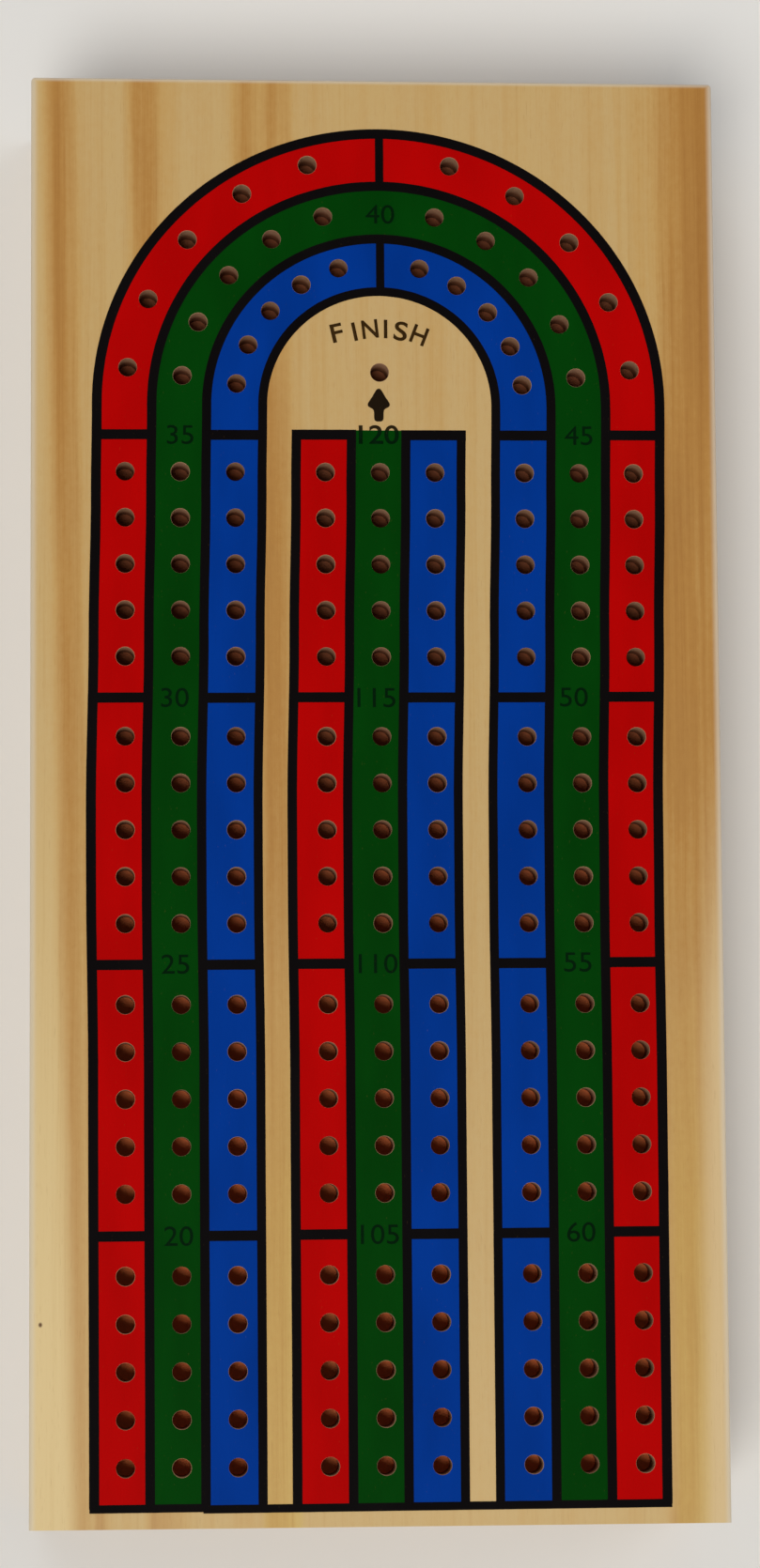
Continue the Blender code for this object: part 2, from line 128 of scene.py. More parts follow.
def mesh_of(name, shape, matrix=None, recalc=True):
    """A bmesh in millimetres becomes a mesh in metres."""
    if matrix is not None:
        bmesh.ops.transform(shape, matrix=matrix, verts=shape.verts)
    bmesh.ops.scale(shape, vec=(MM, MM, MM), verts=shape.verts)
    if recalc:
        bmesh.ops.recalc_face_normals(shape, faces=shape.faces)
    mesh = bpy.data.meshes.new(name)
    shape.to_mesh(mesh)
    shape.free()
    return mesh


def add_prism(shape, outline, low, high, axis="Z"):
    """An (x, y) outline raised along Z, or a (y, z) outline drawn out along X."""
    if axis == "Z":
        base, rise = [(x, y, low) for x, y in outline], (0, 0, high - low)
    else:
        base, rise = [(low, y, z) for y, z in outline], (high - low, 0, 0)
    face = shape.faces.new([shape.verts.new(p) for p in base])
    out = bmesh.ops.extrude_face_region(shape, geom=[face])
    top = [v for v in out["geom"] if isinstance(v, bmesh.types.BMVert)]
    bmesh.ops.translate(shape, vec=rise, verts=top)


def ring_points(x, y, radius, sides):
    angles = [2 * math.pi * i / sides for i in range(sides)]
    return [(x + radius * math.cos(a), y + radius * math.sin(a)) for a in angles]


def rounded_rect(x, y, width, length, radius, steps=8):
    points = []
    for side_x, side_y, start in ((1, 1, 0), (-1, 1, 90), (-1, -1, 180), (1, -1, 270)):
        corner_x = x + side_x * (width / 2 - radius)
        corner_y = y + side_y * (length / 2 - radius)
        for i in range(steps + 1):
            a = math.radians(start + 90 * i / steps)
            points.append((corner_x + radius * math.cos(a), corner_y + radius * math.sin(a)))
    return points


def add_turned(shape, profile, sides, matrix):
    """Solid of revolution about local +Z from (height, radius) pairs. A radius of 0 is a point."""
    rings = []
    for height, radius in profile:
        points = ring_points(0, 0, radius, sides) if radius > 1e-6 else [(0, 0)]
        rings.append([shape.verts.new(matrix @ Vector((x, y, height))) for x, y in points])
    for low, high in zip(rings, rings[1:]):
        for i in range(sides):
            j = (i + 1) % sides
            if len(low) == 1:
                shape.faces.new((low[0], high[j], high[i]))
            elif len(high) == 1:
                shape.faces.new((low[i], low[j], high[0]))
            else:
                shape.faces.new((low[i], low[j], high[j], high[i]))
    if len(rings[0]) > 1:
        shape.faces.new(rings[0][::-1])
    if len(rings[-1]) > 1:
        shape.faces.new(rings[-1])


def turned(name, profile, sides, matrix):
    shape = bmesh.new()
    add_turned(shape, profile, sides, matrix)
    return mesh_of(name, shape)


def carve(obj, cutters, operation="DIFFERENCE"):
    """Cuts or joins closed meshes, and leaves the result as the object's own mesh."""
    tools = []
    for n, mesh in enumerate(cutters):
        tool = new_object("tool", mesh, [])
        mod = obj.modifiers.new("cut%d" % n, "BOOLEAN")
        mod.operation = operation
        mod.solver = "MANIFOLD"
        mod.object = tool
        tools.append(tool)
    bpy.context.view_layer.update()
    evaluated = obj.evaluated_get(bpy.context.evaluated_depsgraph_get())
    done = bpy.data.meshes.new_from_object(evaluated)
    obj.modifiers.clear()
    old = obj.data
    obj.data = done
    done.name = old.name
    bpy.data.meshes.remove(old)
    for tool in tools:
        mesh = tool.data
        bpy.data.objects.remove(tool)
        bpy.data.meshes.remove(mesh)
    if not len(done.polygons):
        raise RuntimeError(obj.name + " lost its faces in a cut")


def shade(mesh, angle):
    """Smooth across gentle edges. Faces square to an axis stay flat."""
    mesh.shade_smooth()
    mesh.set_sharp_from_angle(angle=math.radians(angle))
    normal = np.zeros(len(mesh.polygons) * 3, np.float32)
    mesh.polygons.foreach_get("normal", normal)
    square = np.abs(normal.reshape(-1, 3)).max(1) > 0.99999
    mesh.polygons.foreach_set("use_smooth", ~square)
    mesh.update()


def finish_part(obj, body, part, angle=30):
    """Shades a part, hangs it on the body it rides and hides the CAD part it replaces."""
    shade(obj.data, angle)
    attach(obj, body)
    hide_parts(part)


# ------------------------------------------------------------------ shader helpers
class Shader:
    """Short-hand for building a node material."""

    def __init__(self, name):
        self.material = bpy.data.materials.new(name)
        self.material.use_nodes = True
        self.tree = self.material.node_tree
        self.bsdf = self.tree.nodes["Principled BSDF"]

    def node(self, kind, **options):
        node = self.tree.nodes.new("ShaderNode" + kind)
        for key, value in options.items():
            setattr(node, key, value)
        return node

    def plug(self, socket, value):
        if isinstance(value, bpy.types.NodeSocket):
            self.tree.links.new(value, socket)
        elif isinstance(value, tuple) and len(value) == 3 and len(socket.default_value) == 4:
            socket.default_value = (*value, 1.0)
        else:
            socket.default_value = value

    def fill(self, node, *values):
        for socket, value in zip(node.inputs, values):
            self.plug(socket, value)
        return node

    def math(self, operation, first, second=0.0, third=0.0):
        return self.fill(self.node("Math", operation=operation), first, second, third).outputs[0]

    def add(self, first, second):
        return self.math("ADD", first, second)

    def sub(self, first, second):
        return self.math("SUBTRACT", first, second)

    def mul(self, first, second):
        return self.math("MULTIPLY", first, second)

    def mul_add(self, value, factor, offset):
        return self.math("MULTIPLY_ADD", value, factor, offset)

    def max(self, first, second):
        return self.math("MAXIMUM", first, second)

    def swing(self, value, amount):
        """A 0 to 1 value turned into a swing about zero."""
        return self.mul(self.sub(value, 0.5), amount)

    def vec(self, operation, first, second):
        return self.fill(self.node("VectorMath", operation=operation), first, second).outputs[0]

    def ramp(self, value, start, end, low=0.0, high=1.0, kind="SMOOTHSTEP"):
        """low to high as the value goes from start to end."""
        node = self.node("MapRange", interpolation_type=kind)
        return self.fill(node, value, start, end, low, high).outputs[0]

    def mix(self, factor, first, second, kind="MIX"):
        node = self.node("Mix", data_type="RGBA", blend_type=kind, clamp_factor=True)
        for i, value in ((0, factor), (6, first), (7, second)):
            self.plug(node.inputs[i], value)
        return node.outputs[2]

    def noise(self, vector, stretch=None, scale=1.0, detail=2.0, rough=0.5, distortion=0.0):
        """Noise; stretch is its frequency per mm along X, Y and Z."""
        if stretch:
            vector = self.vec("MULTIPLY", vector, stretch)
        node = self.node("TexNoise")
        self.plug(node.inputs["Vector"], vector)
        node.inputs["Scale"].default_value = scale
        node.inputs["Detail"].default_value = detail
        node.inputs["Roughness"].default_value = rough
        node.inputs["Distortion"].default_value = distortion
        return node.outputs["Fac"]

    def position(self):
        """Object coordinates in millimetres."""
        coord = self.node("TexCoord")
        return self.vec("MULTIPLY", coord.outputs["Object"], (1000.0, 1000.0, 1000.0))

    def moved(self, vector, seed, step):
        """The vector moved by seed steps, so that materials don't share one pattern."""
        return self.vec("ADD", vector, tuple(seed * v for v in step))

    def split(self, vector):
        return self.fill(self.node("SeparateXYZ"), vector).outputs[:3]

    def join(self, x, y, z):
        return self.fill(self.node("CombineXYZ"), x, y, z).outputs[0]

    def bump(self, height, strength, distance):
        node = self.node("Bump")
        node.inputs["Strength"].default_value = strength
        node.inputs["Distance"].default_value = distance
        self.plug(node.inputs["Height"], height)
        self.tree.links.new(node.outputs[0], self.bsdf.inputs["Normal"])

    def set(self, **values):
        for key, value in values.items():
            self.plug(self.bsdf.inputs[key.replace("_", " ")], value)


def srgb(*levels):
    """0 to 255 levels as linear colour."""
    unit = [v / 255 for v in levels]
    return tuple(
        u / 12.92 if v <= 10 else ((u + 0.055) / 1.055) ** 2.4 for u, v in zip(unit, levels)
    )


# ------------------------------------------------------------------ pine
# Soft bands of darker, resin-rich wood on a playing face: ring coordinate at the arc's base
# line, lean per mm of length, reach on the low side and on the high side, then strength at the
# free end, a quarter down, near the middle and near the seam.
UPPER_STREAKS = [
    (-40.4, 0.016, 2.9, 3.3, 1.16, 0.92, 0.95, 0.85),
    (-38.6, 0.018, 0.5, 3.4, 0.22, 0.26, 0.35, 0.50),
    (-35.2, 0.020, 1.0, 1.4, 0.06, 0.10, 0.20, 0.26),
    (-30.2, 0.012, 2.0, 5.8, 1.02, 0.80, 0.70, 1.00),
    (-29.0, 0.004, 0.4, 1.0, 0.12, 0.16, 0.20, 0.10),
    (-26.0, 0.004, 0.8, 1.4, 0.14, 0.16, 0.20, 0.10),
    (-37.2, 0.012, 1.0, 1.4, 0.00, 0.05, 0.15, 0.45),
    (-22.0, 0.003, 2.6, 2.0, 0.05, 0.16, 0.20, 0.20),
    (-16.8, -0.003, 3.0, 2.8, 0.98, 1.00, 0.55, 0.36),
    (-13.4, -0.003, 2.4, 4.8, 0.86, 1.24, 0.82, 0.86),
    (-8.0, 0.000, 0.7, 2.4, 0.24, 0.14, 0.20, 0.10),
    (-1.5, 0.0, 2.6, 1.0, 0.10, 0.10, 0.10, 0.10),
    (3.2, 0.0, 0.6, 1.4, 0.10, 0.10, 0.10, 0.10),
    (8.0, 0.0, 3.4, 2.0, 0.22, 0.16, 0.16, 0.10),
    (12.6, -0.002, 1.2, 1.0, 0.10, 0.10, 0.12, 0.08),
    (17.5, 0.001, 1.0, 2.5, 0.10, 0.14, 0.20, 0.20),
    (24.0, 0.002, 2.5, 1.2, 0.12, 0.14, 0.20, 0.20),
    (29.8, 0.016, 2.6, 1.6, 0.20, 0.30, 0.30, 0.30),
    (32.4, 0.020, 0.5, 0.9, 0.20, 0.20, 0.20, 0.10),
    (35.0, 0.016, 1.8, 1.2, 0.22, 0.34, 0.30, 0.30),
    (44.8, 0.004, 10.5, 14.0, 1.08, 1.00, 0.70, 0.20),
    (37.6, 0.003, 4.4, 5.0, 0.14, 0.86, 0.58, 0.28),
    (39.0, 0.001, 3.4, 5.0, 0.10, 0.00, 0.05, 0.66),
    (43.5, 0.000, 14.0, 9.0, 0.36, 0.10, 0.00, 0.00),
    (40.6, 0.005, 0.5, 1.4, 0.16, 0.22, 0.26, 0.18),
    (42.2, 0.003, 0.5, 0.9, 0.10, 0.14, 0.20, 0.10),
]
LOWER_STREAKS = [
    (-49.0, 0.004, 6.6, 9.0, 0.7, 0.9, 0.9, 0.8),
    (-37.5, 0.003, 3.0, 5.2, 0.9, 0.8, 0.7, 0.6),
    (-36.6, 0.003, 0.8, 1.4, 0.2, 0.2, 0.3, 0.3),
    (-27.0, -0.004, 1.6, 4.4, 0.3, 0.4, 0.5, 0.6),
    (-19.5, -0.002, 3.0, 2.5, 0.2, 0.2, 0.2, 0.2),
    (-11.0, 0.003, 2.4, 4.6, 0.4, 0.7, 0.6, 0.4),
    (-3.5, 0.001, 2.2, 1.6, 0.1, 0.1, 0.2, 0.2),
    (5.5, 0.000, 2.0, 3.4, 0.2, 0.2, 0.2, 0.3),
    (13.5, -0.003, 2.2, 3.0, 0.3, 0.5, 0.7, 0.8),
    (23.0, -0.002, 3.0, 2.2, 0.4, 0.5, 0.4, 0.3),
    (31.0, 0.003, 2.3, 4.8, 0.8, 0.7, 0.6, 0.5),
    (40.5, 0.005, 3.0, 2.4, 0.6, 0.8, 0.9, 0.8),
    (47.5, 0.003, 2.2, 3.6, 0.5, 0.6, 0.6, 0.6),
]


def pine_coordinates(mat, half, seed):
    """depth under the playing face, along from the arc's base line, and ring across the rings.

    The rings run along Y and lean over with depth, so that sides and ends agree with the faces.
    """
    place = mat.position()
    mat.x, mat.y, z = mat.split(place)
    mat.depth = mat.mul(mat.sub(z, level(0.0, half)), float(-half))
    mat.along = mat.sub(mat.y, SEAM_Y + ARC_D)
    mat.out_x = mat.sub(WIDTH / 2, mat.math("ABSOLUTE", mat.x))
    mat.out_y = mat.sub(FREE_Y, mat.y)
    mat.seeded = mat.moved(place, seed, step=(31.7, 17.3, 7.9))
    slow = mat.noise(mat.seeded, stretch=(0.05, 0.012, 0.05), detail=1.0)
    ripple = mat.noise(mat.seeded, stretch=(0.20, 0.030, 0.20))
    lean = mat.mul(mat.depth, 0.34)
    curl = mat.mul(mat.mul(mat.depth, mat.depth), 0.012)
    ring = mat.add(mat.add(mat.x, lean), curl)
    ring = mat.add(ring, mat.swing(slow, amount=0.5))
    mat.ring = mat.add(ring, mat.swing(ripple, amount=0.9))


def pine_streaks(mat, streaks):
    """Sum of the soft bands, each with its strength blended down the board."""
    blends = [
        mat.ramp(mat.along, start, end) for start, end in ((8.0, -18.0), (-35.0, -80.0), (-85.0, -135.0))
    ]
    total = None
    for centre, slope, reach_low, reach_high, *strengths in streaks:
        off = mat.sub(mat.ring, mat.mul_add(mat.along, -slope, centre))
        rise = mat.ramp(off, -reach_low, 0.0)
        fall = mat.ramp(off, 0.0, reach_high, low=1.0, high=0.0)
        shape = mat.mul(rise, fall)
        strength = strengths[0]
        for blend, before, after in zip(blends, strengths, strengths[1:]):
            strength = mat.mul_add(blend, after - before, strength)
        if total is None:
            total = mat.mul(shape, strength)
        else:
            total = mat.mul_add(shape, strength, total)
    return total


def pine_face_colour(mat, streaks):
    """Bands, narrow growth lines, fibres and mottling; how dark they add up picks the colour."""
    total = pine_streaks(mat, streaks)
    line_place = mat.join(mat.mul(mat.ring, 0.95), mat.mul(mat.y, 0.010), mat.mul(mat.depth, 0.05))
    mat.fine = mat.noise(line_place, detail=4.0, rough=0.68)
    mat.fibre = mat.noise(mat.seeded, stretch=(3.6, 0.16, 3.6), detail=4.0, rough=0.7)
    patch = mat.noise(mat.seeded, stretch=(0.13, 0.06, 0.13), detail=3.0, rough=0.6)
    mottle = mat.noise(mat.seeded, stretch=(1.1, 0.8, 1.1), detail=3.0, rough=0.7)
    # growth lines are stronger inside the darker bands
    inner = mat.mul_add(total, 0.45, 0.55)
    dark = mat.add(total, mat.mul(mat.swing(mat.fine, amount=1.15), inner))
    for pattern, amount in ((mat.fibre, 0.32), (patch, 0.45), (mottle, 0.42)):
        dark = mat.add(dark, mat.swing(pattern, amount))
    dark = mat.max(mat.add(dark, 0.05), 0.0)
    pale, honey = srgb(191, 160, 106), srgb(187, 149, 88)
    amber, rust = srgb(173, 126, 62), srgb(158, 108, 46)
    base = mat.mix(mat.ramp(dark, 0.0, 0.5, kind="LINEAR"), pale, honey)
    base = mat.mix(mat.ramp(dark, 0.45, 1.08, kind="LINEAR"), base, amber)
    base = mat.mix(mat.ramp(dark, 1.05, 1.7, kind="LINEAR"), base, rust)
    # the pale wood is now yellower, now pinker
    yellower, pinker = (1.0, 0.965, 0.90), (1.0, 1.0, 1.05)
    tint = mat.mix(mat.ramp(patch, 0.36, 0.64), yellower, pinker)
    return mat.mix(0.55, base, tint, "MULTIPLY")


def pine_sapwood(mat, base):
    """Paler towards the seam and along the sides, with two bands of yellower resin."""
    ring, along = mat.ring, mat.along
    left = mat.mul_add(along, -0.02, mat.mul(ring, -1.0))
    left = mat.mul(mat.ramp(left, 40.4, 43.0), mat.ramp(along, -25.0, -130.0, low=0.12, high=1.0))
    base = mat.mix(mat.mul(left, 0.90), base, srgb(215, 191, 139))
    right = mat.ramp(mat.mul_add(along, -0.02, ring), 41.8, 45.6)
    right = mat.mul(right, mat.ramp(along, -38.0, -85.0))
    base = mat.mix(mat.mul(right, 0.75), base, srgb(210, 185, 142))
    seam = mat.ramp(along, -55.0, -138.0)
    base = mat.mix(mat.mul(seam, 0.26), base, srgb(214, 187, 136))
    # the resin shows towards the seam, near the playing face only
    middle_band = mat.mul(mat.ramp(ring, -15.6, -14.4), mat.ramp(ring, -9.4, -10.6))
    right_band = mat.mul(mat.ramp(ring, 36.6, 38.2), mat.ramp(ring, 42.6, 40.2))
    resin = mat.mul(mat.add(middle_band, right_band), mat.ramp(along, -72.0, -112.0))
    resin = mat.mul(resin, mat.ramp(mat.depth, 7.0, 1.5))
    return mat.mix(mat.mul(resin, 0.9), base, (1.02, 1.04, 0.80), "MULTIPLY")


def pine_marks(mat, base, flecks):
    """Faint growth lines in the palest wood, short dark dashes and round flecks."""
    base = mat.mix(mat.ramp(mat.fine, 0.52, 0.70, high=0.30), base, (0.86, 0.78, 0.66), "MULTIPLY")
    dash = mat.noise(mat.seeded, stretch=(6.5, 0.42, 6.5), rough=0.6)
    base = mat.mix(mat.ramp(dash, 0.60, 0.78, high=0.22), base, srgb(150, 104, 48))
    for fleck_x, fleck_along, radius in flecks:
        across = mat.math("POWER", mat.sub(mat.x, fleck_x), 2.0)
        down = mat.math("POWER", mat.mul(mat.sub(mat.along, fleck_along), 0.8), 2.0)
        off = mat.math("SQRT", mat.add(across, down))
        on_face = mat.math("LESS_THAN", mat.depth, 0.5)
        spot = mat.mul(mat.ramp(off, radius, 0.3 * radius), on_face)
        base = mat.mix(spot, base, srgb(96, 64, 34))
    return base


def pine_end_colour(mat):
    """End grain drinks more light, and shows its rings."""
    rings = mat.noise(mat.join(mat.mul(mat.ring, 1.5), 0.0, 0.0))
    colour = mat.mix(mat.ramp(rings, 0.36, 0.70), srgb(182, 143, 86), srgb(148, 104, 50))
    pores = mat.noise(mat.seeded, stretch=(7.0, 7.0, 7.0))
    return mat.mix(mat.ramp(pores, 0.50, 0.72, high=0.4), colour, srgb(120, 80, 36))


def pine_flanks(mat, base, normal_x):
    """On the long sides the growth lines stand closer and clearer."""
    flank = mat.ramp(mat.math("ABSOLUTE", normal_x), 0.80, 0.97)
    line_place = mat.join(mat.mul(mat.ring, 1.9), mat.mul(mat.y, 0.007), 0.0)
    lines = mat.noise(line_place, detail=3.0, rough=0.6)
    strength = mat.mul(mat.ramp(lines, 0.44, 0.66, high=0.62), flank)
    return mat.mix(strength, base, (0.84, 0.72, 0.54), "MULTIPLY")


def pine_edge_highlight(mat, base):
    """Painted highlight: paler where the outer eased edges would catch the light."""
    near_side = mat.ramp(mat.max(mat.out_x, mat.depth), 1.05, 0.15)
    near_end = mat.ramp(mat.max(mat.out_y, mat.depth), 0.7, 0.15)
    near_corner = mat.ramp(mat.max(mat.out_y, mat.out_x), 1.0, 0.2)
    edge_highlight = mat.max(mat.max(near_side, near_end), near_corner)
    # painted highlight along the eased edges
    return mat.mix(mat.mul(edge_highlight, 0.66), base, srgb(206, 195, 176))


def pine_inside_holes(mat):
    """1 where the wood is at peg-hole depth and away from the outer sides."""
    inside = mat.math("GREATER_THAN", mat.depth, 0.004)
    inside = mat.mul(inside, mat.math("LESS_THAN", mat.depth, HOLE_DEPTH + 1.2))
    for distance, least in ((mat.out_x, 2.0), (mat.out_y, 2.0), (mat.y, SEAM_Y + 1.0)):
        inside = mat.mul(inside, mat.math("GREATER_THAN", distance, least))
    return inside


def pine_hole_shade_colour(mat):
    """Dusty at random, with painted shade darkening the wall down the hole and painted light lifting the
    hole floors towards the seam.
    """
    dust = mat.noise(mat.seeded, stretch=(2.5, 2.5, 2.5))
    wall_tone_and_shade = mat.mix(mat.ramp(dust, 0.3, 0.7), srgb(160, 121, 94), srgb(180, 140, 112))
    # painted shade: the wall darkens down the hole
    wall_tone_and_shade = mat.mix(mat.ramp(mat.depth, 1.5, 3.6), wall_tone_and_shade, srgb(114, 60, 38))
    # painted light: the hole floors are lifted, more towards the seam
    floor_painted_light = mat.mix(mat.ramp(mat.along, -20.0, -110.0), srgb(132, 66, 38), srgb(230, 118, 64))
    return mat.mix(mat.ramp(mat.depth, 4.9, 5.2), wall_tone_and_shade, floor_painted_light)


def pine_material(name, half, streaks, seed, sapwood, flecks):
    """Light pine, the same all through. flecks: x, place along, radius."""
    mat = Shader(name)
    pine_coordinates(mat, half, seed)
    base = pine_face_colour(mat, streaks)
    if sapwood:
        base = pine_sapwood(mat, base)
    base = pine_marks(mat, base, flecks)
    normal_x, normal_y, _ = mat.split(mat.node("TexCoord").outputs["Normal"])
    end = mat.ramp(mat.math("ABSOLUTE", normal_y), 0.75, 0.95)
    base = pine_flanks(mat, base, normal_x)
    # painted highlight on the eased edges
    base = pine_edge_highlight(mat, base)
    inside = pine_inside_holes(mat)
    end_share = mat.mul(mat.mul(end, mat.sub(1.0, inside)), 0.72)
    base = mat.mix(end_share, base, pine_end_colour(mat))
    # inside the peg holes: dusty wall tone with painted shade and painted floor light
    base = mat.mix(mat.mul(inside, 0.92), base, pine_hole_shade_colour(mat))
    rough = mat.mul_add(mat.fibre, 0.16, 0.36)
    rough = mat.mul_add(inside, 0.3, rough)
    rough = mat.mul_add(end, 0.12, rough)
    mat.set(Base_Color=base, Roughness=rough, Specular_IOR_Level=0.26)
    height = mat.add(mat.mul(mat.fibre, 0.6), mat.mul(mat.fine, 0.4))
    mat.bump(height, strength=0.35, distance=0.00006)
    return mat.material


# ------------------------------------------------------------------ ink, metal and plastic
def ink_material(name, colour, seed, show):
    """Screen-printed ink on open-grained wood. show: how much of the grain stands through."""
    mat = Shader(name)
    seeded = mat.moved(mat.position(), seed, step=(11.3, 5.7, 3.1))
    cloud = mat.noise(seeded, stretch=(0.16, 0.05, 0.16))
    fibre = mat.noise(seeded, stretch=(4.5, 0.25, 4.5), detail=3.0, rough=0.65)
    pin = mat.noise(seeded, stretch=(7.0, 2.2, 7.0), detail=1.0)
    dark = tuple(v * (1 - 1.6 * show) for v in colour)
    light = tuple(v * (1 + 1.4 * show) + 0.0002 for v in colour)
    thin = tuple(v * 0.72 for v in colour)
    base = mat.mix(mat.ramp(cloud, 0.25, 0.75), dark, light)
    base = mat.mix(mat.ramp(fibre, 0.55, 0.85, high=0.35), base, thin)
    base = mat.mix(mat.ramp(pin, 0.74, 0.82, high=0.10), base, srgb(150, 115, 60))
    rough = mat.mul_add(fibre, 0.14, 0.39)
    mat.set(Base_Color=base, Roughness=rough, Specular_IOR_Level=0.018)
    mat.bump(mat.add(fibre, mat.mul(pin, 0.3)), strength=0.3, distance=0.00004)
    return mat.material


def leaf_grime_and_shade(mat, place, nick):
    """Grime and painted shade round a hinge leaf's screws and along its rim, where the countersinks and
    mortise would shade it.
    """
    x, y, _ = mat.split(place)
    from_mid = mat.math("ABSOLUTE", mat.sub(mat.math("ABSOLUTE", x), HINGE_X))
    run = mat.sub(y, AXIS_Y)
    off_x, off_y = mat.sub(from_mid, SCREW_X), mat.sub(run, SCREW_Y)
    off = mat.math("SQRT", mat.add(mat.mul(off_x, off_x), mat.mul(off_y, off_y)))
    at_screws = mat.ramp(off, HEAD_R + 0.75, HEAD_R + 0.1, high=0.55)
    past_rim = mat.max(mat.sub(from_mid, LEAF_W / 2), mat.sub(run, LEAF_L))
    at_rim = mat.ramp(past_rim, -0.7, -0.05, high=0.45)
    # darker round the screws and along the rim: grime and painted shade
    grime_and_shade = mat.max(at_screws, at_rim)
    return mat.mul(grime_and_shade, mat.ramp(nick, 0.30, 0.62, low=0.35, high=1.0))


def metal_material(name, colour, dark, rough, seed, brushed=(0.4, 6.0, 6.0), leaf=False):
    """Rolled, lightly brushed metal: fine lines, a faint cloudy film and nicks."""
    mat = Shader(name)
    place = mat.position()
    seeded = mat.moved(place, seed, step=(3.3, 1.7, 9.1))
    lines = mat.noise(seeded, stretch=brushed, detail=4.0, rough=0.7)
    film = mat.noise(seeded, stretch=(0.14, 0.14, 0.14), detail=1.0)
    nick = mat.noise(seeded, stretch=(2.4, 2.4, 2.4), rough=0.7)
    line_colour = tuple(v * 0.78 for v in colour)
    base = mat.mix(mat.ramp(film, 0.35, 0.75, high=0.22), colour, dark)
    base = mat.mix(mat.ramp(lines, 0.35, 0.75, high=0.30), base, line_colour)
    base = mat.mix(mat.ramp(nick, 0.66, 0.80, high=0.25), base, dark)
    if leaf:
        # grime and painted shade round the screws and rim
        base = mat.mix(leaf_grime_and_shade(mat, place, nick), base, dark)
    roughness = mat.mul_add(film, 0.06, mat.mul_add(lines, 0.18, rough))
    mat.set(Base_Color=base, Roughness=roughness, Metallic=1.0)
    mat.bump(lines, strength=0.22, distance=0.00002)
    return mat.material


def plastic_material(name, colour, seed):
    mat = Shader(name)
    seeded = mat.moved(mat.position(), seed, step=(5.3, 2.9, 1.3))
    swirl = mat.noise(seeded, scale=0.35, detail=3.0, distortion=0.6)
    scuff = mat.noise(seeded, stretch=(3.0, 0.8, 3.0))
    dark = tuple(v * 0.82 for v in colour)
    light = tuple(min(1.0, v * 1.2 + 0.001) for v in colour)
    mat.set(
        Base_Color=mat.mix(swirl, dark, light),
        Roughness=mat.ramp(scuff, 0.3, 0.8, low=0.2, high=0.36),
        Specular_IOR_Level=0.5,
        Coat_Weight=0.25,
        Coat_Roughness=0.12,
    )
    mat.bump(scuff, strength=0.12, distance=0.00003)
    return mat.material


PINE = {
    UPPER: pine_material(
        "pine_upper", UPPER, UPPER_STREAKS, seed=1.0, sapwood=True,
        flecks=[(-43.0, -117.8, 0.34), (15.0, -109.4, 0.30)],
    ),
    LOWER: pine_material(
        "pine_lower", LOWER, LOWER_STREAKS, seed=2.0, sapwood=False, flecks=[(31.0, -52.0, 0.36)]
    ),
}
# name, colour, how much of the grain shows
INKS = [
    ("red", (171, 1, 1), 0.05),
    ("green", (1, 57, 5), 0.07),
    ("blue", (0, 50, 135), 0.06),
    ("black", (11, 8, 9), 0.08),
    ("figures", (1, 27, 6), 0.04),
    ("figures_bare", (40, 31, 14), 0.05),
    ("lettering", (54, 36, 12), 0.06),
    ("arrow", (28, 19, 9), 0.06),
]
INK = {
    name: ink_material("ink_" + name, srgb(*colour), seed, show)
    for seed, (name, colour, show) in enumerate(INKS, 1)
}
LANE_COLOURS = ("red", "green", "blue")
BRASS = metal_material(
    "brass_plate", colour=(0.72, 0.52, 0.21), dark=(0.36, 0.23, 0.08), rough=0.23, seed=1,
    brushed=(0.25, 9.0, 9.0), leaf=True,
)
SCREW_BRASS = metal_material(
    "screw_brass", colour=(0.74, 0.56, 0.26), dark=(0.40, 0.27, 0.11), rough=0.2, seed=2,
    brushed=(6.0, 0.5, 6.0),
)
STEEL = metal_material(
    "pin_steel", colour=(0.58, 0.58, 0.60), dark=(0.34, 0.33, 0.32), rough=0.25, seed=3
)
NICKEL = metal_material(
    "magnet_nickel", colour=(0.68, 0.68, 0.69), dark=(0.48, 0.47, 0.45), rough=0.16, seed=4,
    brushed=(0.8, 0.8, 5.0),
)


# ------------------------------------------------------------------ hole places on the drawing
def lanes_about(x):
    return [x - LANE, x, x + LANE]


def column_holes(start_y, groups):
    return [
        (x, start_y - (GROUP * group + PITCH * k))
        for column in COLUMN_X for x in lanes_about(column)
        for group in range(groups) for k in range(5)
    ]


def upper_holes():
    holes = column_holes(ARC_D - ARC_TO_HOLE, 4)
    for radius in lanes_about(R_GREEN):
        for side in (-1, 1):
            for j in range(1, 6):
                a = math.radians(90 - side * ARC_STEP * j)
                holes.append((TRACK_X + radius * math.cos(a), ARC_D + radius * math.sin(a)))
    holes.append((TRACK_X, ARC_D + FINISH_UP))
    return holes


def tally_x(i):
    return TRACK_X + LANE * (i - (GAMES_HOLES - 1) / 2)


def lower_holes():
    holes = column_holes(-FIRST_D, 3)
    turn_x = TRACK_X + R_GREEN / 2
    for radius in lanes_about(R_GREEN / 2):
        for j in range(5):
            a = math.radians(18 + TURN_STEP * j)
            holes.append((turn_x + radius * math.cos(a), -(TURN_D + radius * math.sin(a))))
    for x in lanes_about(COLUMN_X[0]):
        holes += [(x, -START_D), (x, -(START_D + PITCH))]
    for row in range(3):
        holes += [(tally_x(i), -(GAMES_D + GAMES_ROW * row)) for i in range(GAMES_HOLES)]
    return holes


HOLES = {UPPER: upper_holes(), LOWER: lower_holes()}


